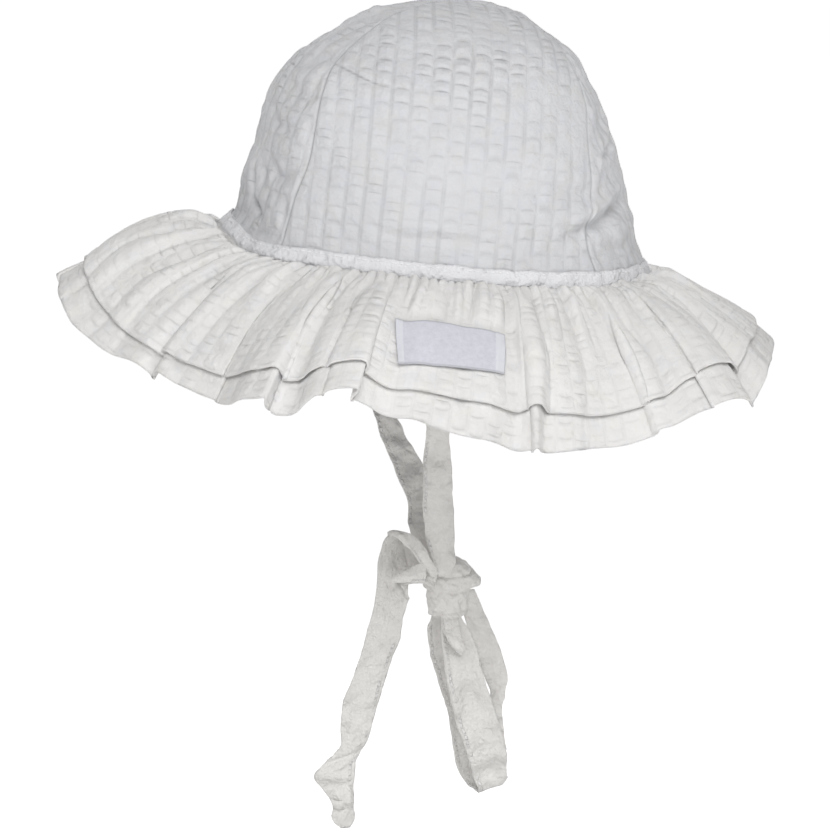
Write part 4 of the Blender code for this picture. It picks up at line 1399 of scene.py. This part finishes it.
def ribbon(stage, table, steps, seed):
    """A strip of cloth between two edges, each a smooth curve through its points.

    Across the strip the cloth swells as 4 t (1 - t) times the table's swell, and creases wander over it,
    which grow from nothing over the first centimetre and a half.
    """
    rows = np.array(table)
    left = at_pixel(stage, rows[:, 0], rows[:, 1], rows[:, 4] * MM)
    right = at_pixel(stage, rows[:, 2], rows[:, 3], rows[:, 5] * MM)
    way = travel((left + right) / 2, 0)
    rows = np.concatenate((left, right, rows[:, 6:] * MM), axis=1)
    data = smooth(way, rows, np.linspace(0, way[-1], steps))
    left = data[:, None, :3]
    right = data[:, None, 3:6]
    share = np.linspace(0, 1, TIE_COLUMNS)[None, :, None]
    flat = left * (1 - share) + right * share
    out = grid_normal(flat)
    out = out * np.sign((out * view_axes(stage)[2]).sum(axis=-1).mean())
    along = travel(flat, 0)[:, TIE_COLUMNS // 2, None]
    share = share[..., 0]
    across = share * np.linalg.norm(right - left, axis=-1)
    swell = data[:, 6:7] * 4 * share * (1 - share)
    crease = wander(across / 0.007 + 0.6 * along / 0.007, along / 0.006 - 0.3 * across / 0.006, seed)
    fine = wander(across / 0.0028 + 0.8 * along / 0.003, along / 0.0035, seed + 1)
    crumple = TIE_CRUMPLE * ease(along / CRUMPLE_START)
    relief = swell + crumple * (np.sign(crease) * np.abs(crease) ** 0.8 + 0.35 * fine)
    return flat + out * relief[..., None], share, along / STITCH_PITCH


def strip(stage, cloth, name, node, tables, steps, seed, finish):
    """A tie piece of one or more ribbons, standing for its node."""
    grids = [ribbon(stage, table, steps, seed + 3 * count) for count, table in enumerate(tables)]
    made = cloth_mesh(name, grids, finish, 1.6 * cloth.wall)
    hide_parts(node)
    return made


def knot_surface(stage):
    """The knot: ovals one above the other through the photographed sides, wrapped and creased.

    Each level is an oval of its width and depth. Wanders crease it, and a slanted Gaussian groove round its
    near side parts the upper wrap from the lower ones.
    """
    rows = np.array(KNOT_LEVELS)
    middle = float(KNOT_LOW[0] + KNOT_HIGH[0]) / 2
    deep = float(KNOT_HIGH[0] - KNOT_LOW[0]) / 2
    left = at_pixel(stage, rows[:, 0], rows[:, 2], middle)
    right = at_pixel(stage, rows[:, 1], rows[:, 2], middle)
    way = travel((left + right) / 2, 0)
    sides = np.column_stack((left[:, 1:], right[:, 1:], rows[:, 3] * deep))
    data = smooth(way, sides, np.linspace(0, way[-1], KNOT_GRID[1]))
    turn = np.linspace(0, TURN, KNOT_GRID[0], endpoint=False)[None, :]
    y = (data[:, 0:1] + data[:, 2:3]) / 2 - (data[:, 2:3] - data[:, 0:1]) / 2 * np.cos(turn)
    z = (data[:, 1:2] + data[:, 3:4]) / 2 + 0 * turn
    x = middle + np.abs(data[:, 4:5]) * np.sign(np.sin(turn)) * np.abs(np.sin(turn)) ** 0.9
    points = np.stack((x, y, z), -1)
    out = ring_normal(points)
    share = np.linspace(0, 1, KNOT_GRID[1])[:, None]
    relief = 0.0005 * wander(turn * 2.2, share * 5, 5)
    relief = relief + 0.00035 * wander(turn * 5 + share * 9, share * 11, 6)
    slant = share - 0.80 + 0.07 * np.cos(turn - 1.2)
    relief = relief - 0.0009 * np.exp(-(slant / 0.02) ** 2) * ease(np.sin(turn) * 2 + 0.4)
    return points + out * relief[..., None], turn / TURN * 30, share * 8


def look_matrix(place, back, right):
    """The matrix of a camera or lamp at a place that looks against back, with its right side level."""
    up = unit(np.cross(back, right))
    right = np.cross(up, back)
    rows = np.eye(4)
    rows[:3, 0] = right
    rows[:3, 1] = up
    rows[:3, 2] = back
    rows[:3, 3] = place
    return Matrix(rows.tolist())


def floor_paper(backdrop):
    """The floor's paper: a grey pool of painted shade near the hat, and past the pool paler and lit by
    itself.
    """
    paper = bpy.data.materials.new("floor_paper")
    paper.use_nodes = True
    tree = paper.node_tree
    sheet = tree.nodes["Principled BSDF"]
    sheet.inputs["Roughness"].default_value = 1.0
    sheet.inputs["Specular IOR Level"].default_value = 0.0
    sheet.inputs["Emission Color"].default_value = WHITE
    place = tree.nodes.new("ShaderNodeTexCoord")
    away = tree.nodes.new("ShaderNodeVectorMath")
    away.operation = "LENGTH"
    tree.links.new(place.outputs["Object"], away.inputs[0])
    rise = tree.nodes.new("ShaderNodeMapRange")
    rise.interpolation_type = "SMOOTHSTEP"
    rise.inputs["From Min"].default_value = FLOOR_POOL[0]
    rise.inputs["From Max"].default_value = FLOOR_POOL[1]
    tree.links.new(away.outputs["Value"], rise.inputs["Value"])
    glow = tree.nodes.new("ShaderNodeMath")
    glow.operation = "MULTIPLY"
    glow.inputs[1].default_value = backdrop
    tree.links.new(rise.outputs["Result"], glow.inputs[0])
    tree.links.new(glow.outputs["Value"], sheet.inputs["Emission Strength"])
    # Painted shade: the paper is grey in a pool near the hat.
    pale = tree.nodes.new("ShaderNodeMix")
    pale.data_type = "RGBA"
    pale.inputs[6].default_value = FLOOR_NEAR
    pale.inputs[7].default_value = FLOOR_FAR
    tree.links.new(rise.outputs["Result"], pale.inputs["Factor"])
    tree.links.new(pale.outputs[2], sheet.inputs["Base Color"])
    return paper


class HAT_OT_crown(bpy.types.Operator):
    """Build the four gores of the crown"""

    bl_idname = "sun_hat.crown"
    bl_label = "Crown"

    def execute(self, context):
        sizes = context.scene.hat_sizes
        cloth = context.scene.hat_cloth
        finish = seersucker("crown_seersucker_cloth", tuple(cloth.crown), 0.65, 0.90, True)
        limps = (("front", 0.0015), ("left", 0.0004), ("back", 0.0013), ("right", 0.0006))
        for count, (name, limp) in enumerate(limps):
            gore(sizes, cloth, f"gore_{name}", f"crown_{name}", count - 1, count, 11.0 + count, limp, finish)
        return {"FINISHED"}


class HAT_OT_binding(bpy.types.Operator):
    """Build the binding and its row of stitches"""

    bl_idname = "sun_hat.binding"
    bl_label = "Binding"

    def execute(self, context):
        sizes = context.scene.hat_sizes
        cloth = context.scene.hat_cloth
        finish = plain_cotton("binding_cloth", tuple(cloth.binding), NO_STITCHES, 0.18)
        angle = np.linspace(0, TURN, BINDING_GRID[0], endpoint=False)[None, :]
        share = np.linspace(1, -1, BINDING_GRID[1])[:, None]
        points = binding_profile(sizes, angle, share)
        grid = (leaned(sizes, points), angle * 30, share)
        made = cloth_mesh("binding", [grid], finish, cloth.wall, closed=True)
        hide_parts("crown_binding")
        turn = (np.arange(STITCH_COUNT) + 0.5) / STITCH_COUNT * TURN
        row = binding_profile(sizes, turn[None, :], np.array(((0.80,),)))[0]
        run = unit(np.roll(row, -1, axis=0) - np.roll(row, 1, axis=0))
        out = band_outward(sizes, turn)
        out = unit(out - (out * run).sum(-1, keepdims=True) * run)
        middles = leaned(sizes, row + out * (cloth.wall / 2 + 0.0001))
        thread = plain_cotton("thread", tuple(cloth.thread), NO_STITCHES, 0.05)
        stitches("binding_stitches", middles, leaned(sizes, out), leaned(sizes, run), thread)
        return {"FINISHED"}


class HAT_OT_brim(bpy.types.Operator):
    """Build the upper and the lower ruffle"""

    bl_idname = "sun_hat.brim"
    bl_label = "Brim"

    def execute(self, context):
        sizes = context.scene.hat_sizes
        cloth = context.scene.hat_cloth
        finish = seersucker("brim_seersucker_cloth", tuple(cloth.brim), 0.22, 0.85, False)
        ruffle(sizes, cloth, "upper_frill", "ruffle_upper", 1, sizes.upper_depth, UPPER_GRID, 21.0, finish)
        ruffle(sizes, cloth, "lower_frill", "ruffle_lower", -1, sizes.lower_depth, LOWER_GRID, 35.0, finish)
        return {"FINISHED"}


class HAT_OT_label(bpy.types.Operator):
    """Build the plain woven label"""

    bl_idname = "sun_hat.label"
    bl_label = "Label"

    def execute(self, context):
        sizes = context.scene.hat_sizes
        cloth = context.scene.hat_cloth
        across = np.linspace(-1, 1, LABEL_GRID[0])[None, :]
        down = np.linspace(1, 0, LABEL_GRID[1])[:, None]
        angle, run = label_spot(across, down)
        normal, _ = brim_axes(sizes, angle, run)
        lift = layer_room(sizes, run) / 2 + LABEL_LIFT
        lift = lift + 0.0005 * wander(across * 3, down * 2, 4)
        lift = lift + 0.0003 * ease((np.abs(across) - 0.84) / 0.02)
        points = brim_surface(sizes, angle, run) + normal * lift[..., None]
        finish = woven_label("label_cloth", tuple(cloth.label))
        grid = (leaned(sizes, points), (across + 1) / 2, 1 - down)
        made = cloth_mesh("label_woven", [grid], finish, LABEL_WALL)
        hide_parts("label")
        return {"FINISHED"}


class HAT_OT_ties(bpy.types.Operator):
    """Build the straps, the knot, the tail, the bow loop and the short end"""

    bl_idname = "sun_hat.ties"
    bl_label = "Ties"

    def execute(self, context):
        stage = context.scene.hat_stage
        cloth = context.scene.hat_cloth
        finish = plain_cotton("tie_cloth", tuple(cloth.tie), 0.09, 0.30)
        tail = plain_cotton("tail_cloth", tuple(cloth.tie), 0.86, 0.30)
        knot = ["knot_wraps"]
        bow = (BOW_LOOP, LOOP_LAP)
        long = (LONG_TAIL, TAIL_RIM, TAIL_LAP, TIP_HEM)
        pieces = (
            ("strap_left", "tie_left", (LEFT_STRAP,), 150, 3.0, finish, (0.0105, 0.135), ["gore_left"]),
            ("strap_right", "tie_right", (RIGHT_STRAP,), 150, 7.0, finish, (0.0115, 0.140), ["gore_right"]),
            ("tail", "tie_tail", long, 150, 13.0, tail, (0.0130, 0.125), knot),
            ("loop", "bow_loop", bow, 200, 17.0, finish, (0.0130, 0.150), knot),
            ("short_end", "tie_end", (SHORT_END,), 120, 23.0, finish, (0.0100, 0.065), knot),
        )
        for name, node, tables, steps, seed, cover, flat, rests in pieces:
            strip(stage, cloth, name, node, tables, steps, seed, cover)
        wrap = plain_cotton("knot_cloth", tuple(cloth.tie), NO_STITCHES, 0.25)
        made = cloth_mesh("knot_wraps", [knot_surface(stage)], wrap, 0.0, closed=True)
        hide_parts("knot")
        return {"FINISHED"}


class HAT_OT_stage(bpy.types.Operator):
    """Build the floor, the lamps and the camera"""

    bl_idname = "sun_hat.stage"
    bl_label = "Stage"

    def execute(self, context):
        stage = context.scene.hat_stage
        level = CAD_BOX[0][2] - stage.floor_drop
        sides = ((-1, -1), (1, -1), (1, 1), (-1, 1))
        corners = [(FLOOR_HALF * x, FLOOR_HALF * y, level) for x, y in sides]
        mesh = bpy.data.meshes.new("floor")
        mesh.from_pydata(corners, [], [(0, 1, 2, 3)])
        mesh.materials.append(floor_paper(stage.backdrop))
        floor = bpy.data.objects.new("floor", mesh)
        context.scene.collection.objects.link(floor)
        right, up, back, aim = view_axes(stage)
        world = bpy.data.worlds.new("studio")
        world.use_nodes = True
        sky = world.node_tree.nodes["Background"]
        sky.inputs["Color"].default_value = WHITE
        sky.inputs["Strength"].default_value = stage.sky
        context.scene.world = world
        lamps = (
            ("key", stage.key, 0.7, up * 0.62 + right * 0.03 + back * 1.15),
            ("rear", stage.rear, 1.0, up * 0.75 - right * 0.25 - back * 1.05),
            ("fill", stage.fill, 0.3, right * 0.9 + up * 0.9 + back * 1.0),
        )
        for name, power, size, offset in lamps:
            lamp = bpy.data.lights.new(name, "AREA")
            lamp.energy = power
            lamp.size = size
            body = bpy.data.objects.new(name, lamp)
            context.scene.collection.objects.link(body)
            body.matrix_world = look_matrix(aim + offset, unit(offset), right)
        lens = bpy.data.cameras.new("camera")
        lens.lens = focal_length()
        lens.sensor_width = SENSOR_MM
        camera = bpy.data.objects.new("camera", lens)
        context.scene.collection.objects.link(camera)
        camera.matrix_world = look_matrix(aim + back * stage.distance, back, right)
        context.scene.camera = camera
        context.scene.view_settings.view_transform = "Standard"
        return {"FINISHED"}


class HAT_PT_panel(bpy.types.Panel):
    """Lists the hat's sizes and its builders"""

    bl_label = "Sun hat"
    bl_idname = "HAT_PT_panel"
    bl_space_type = "VIEW_3D"
    bl_region_type = "UI"
    bl_category = "Sun hat"

    def draw(self, context):
        for group in (context.scene.hat_sizes, context.scene.hat_cloth, context.scene.hat_stage):
            box = self.layout.box()
            for name in group.__annotations__:
                box.prop(group, name)
        for step in STEPS:
            self.layout.operator(step.bl_idname)


STEPS = (HAT_OT_stage, HAT_OT_crown, HAT_OT_binding, HAT_OT_brim, HAT_OT_label, HAT_OT_ties)
GROUPS = (("hat_sizes", HatSizes), ("hat_cloth", ClothLook), ("hat_stage", StageLook))


def register():
    """Adds the settings, the operators and the panel to Blender."""
    for name, group in GROUPS:
        bpy.utils.register_class(group)
        setattr(bpy.types.Scene, name, PointerProperty(type=group))
    for step in STEPS:
        bpy.utils.register_class(step)
    bpy.utils.register_class(HAT_PT_panel)


def unregister():
    """Takes them out again."""
    bpy.utils.unregister_class(HAT_PT_panel)
    for step in STEPS:
        bpy.utils.unregister_class(step)
    for name, group in GROUPS:
        delattr(bpy.types.Scene, name)
        bpy.utils.unregister_class(group)


def main():
    """Builds everything in order."""
    register()
    bpy.ops.sun_hat.stage()
    bpy.ops.sun_hat.crown()
    bpy.ops.sun_hat.binding()
    bpy.ops.sun_hat.brim()
    bpy.ops.sun_hat.label()
    bpy.ops.sun_hat.ties()


if __name__ == "__main__":
    main()
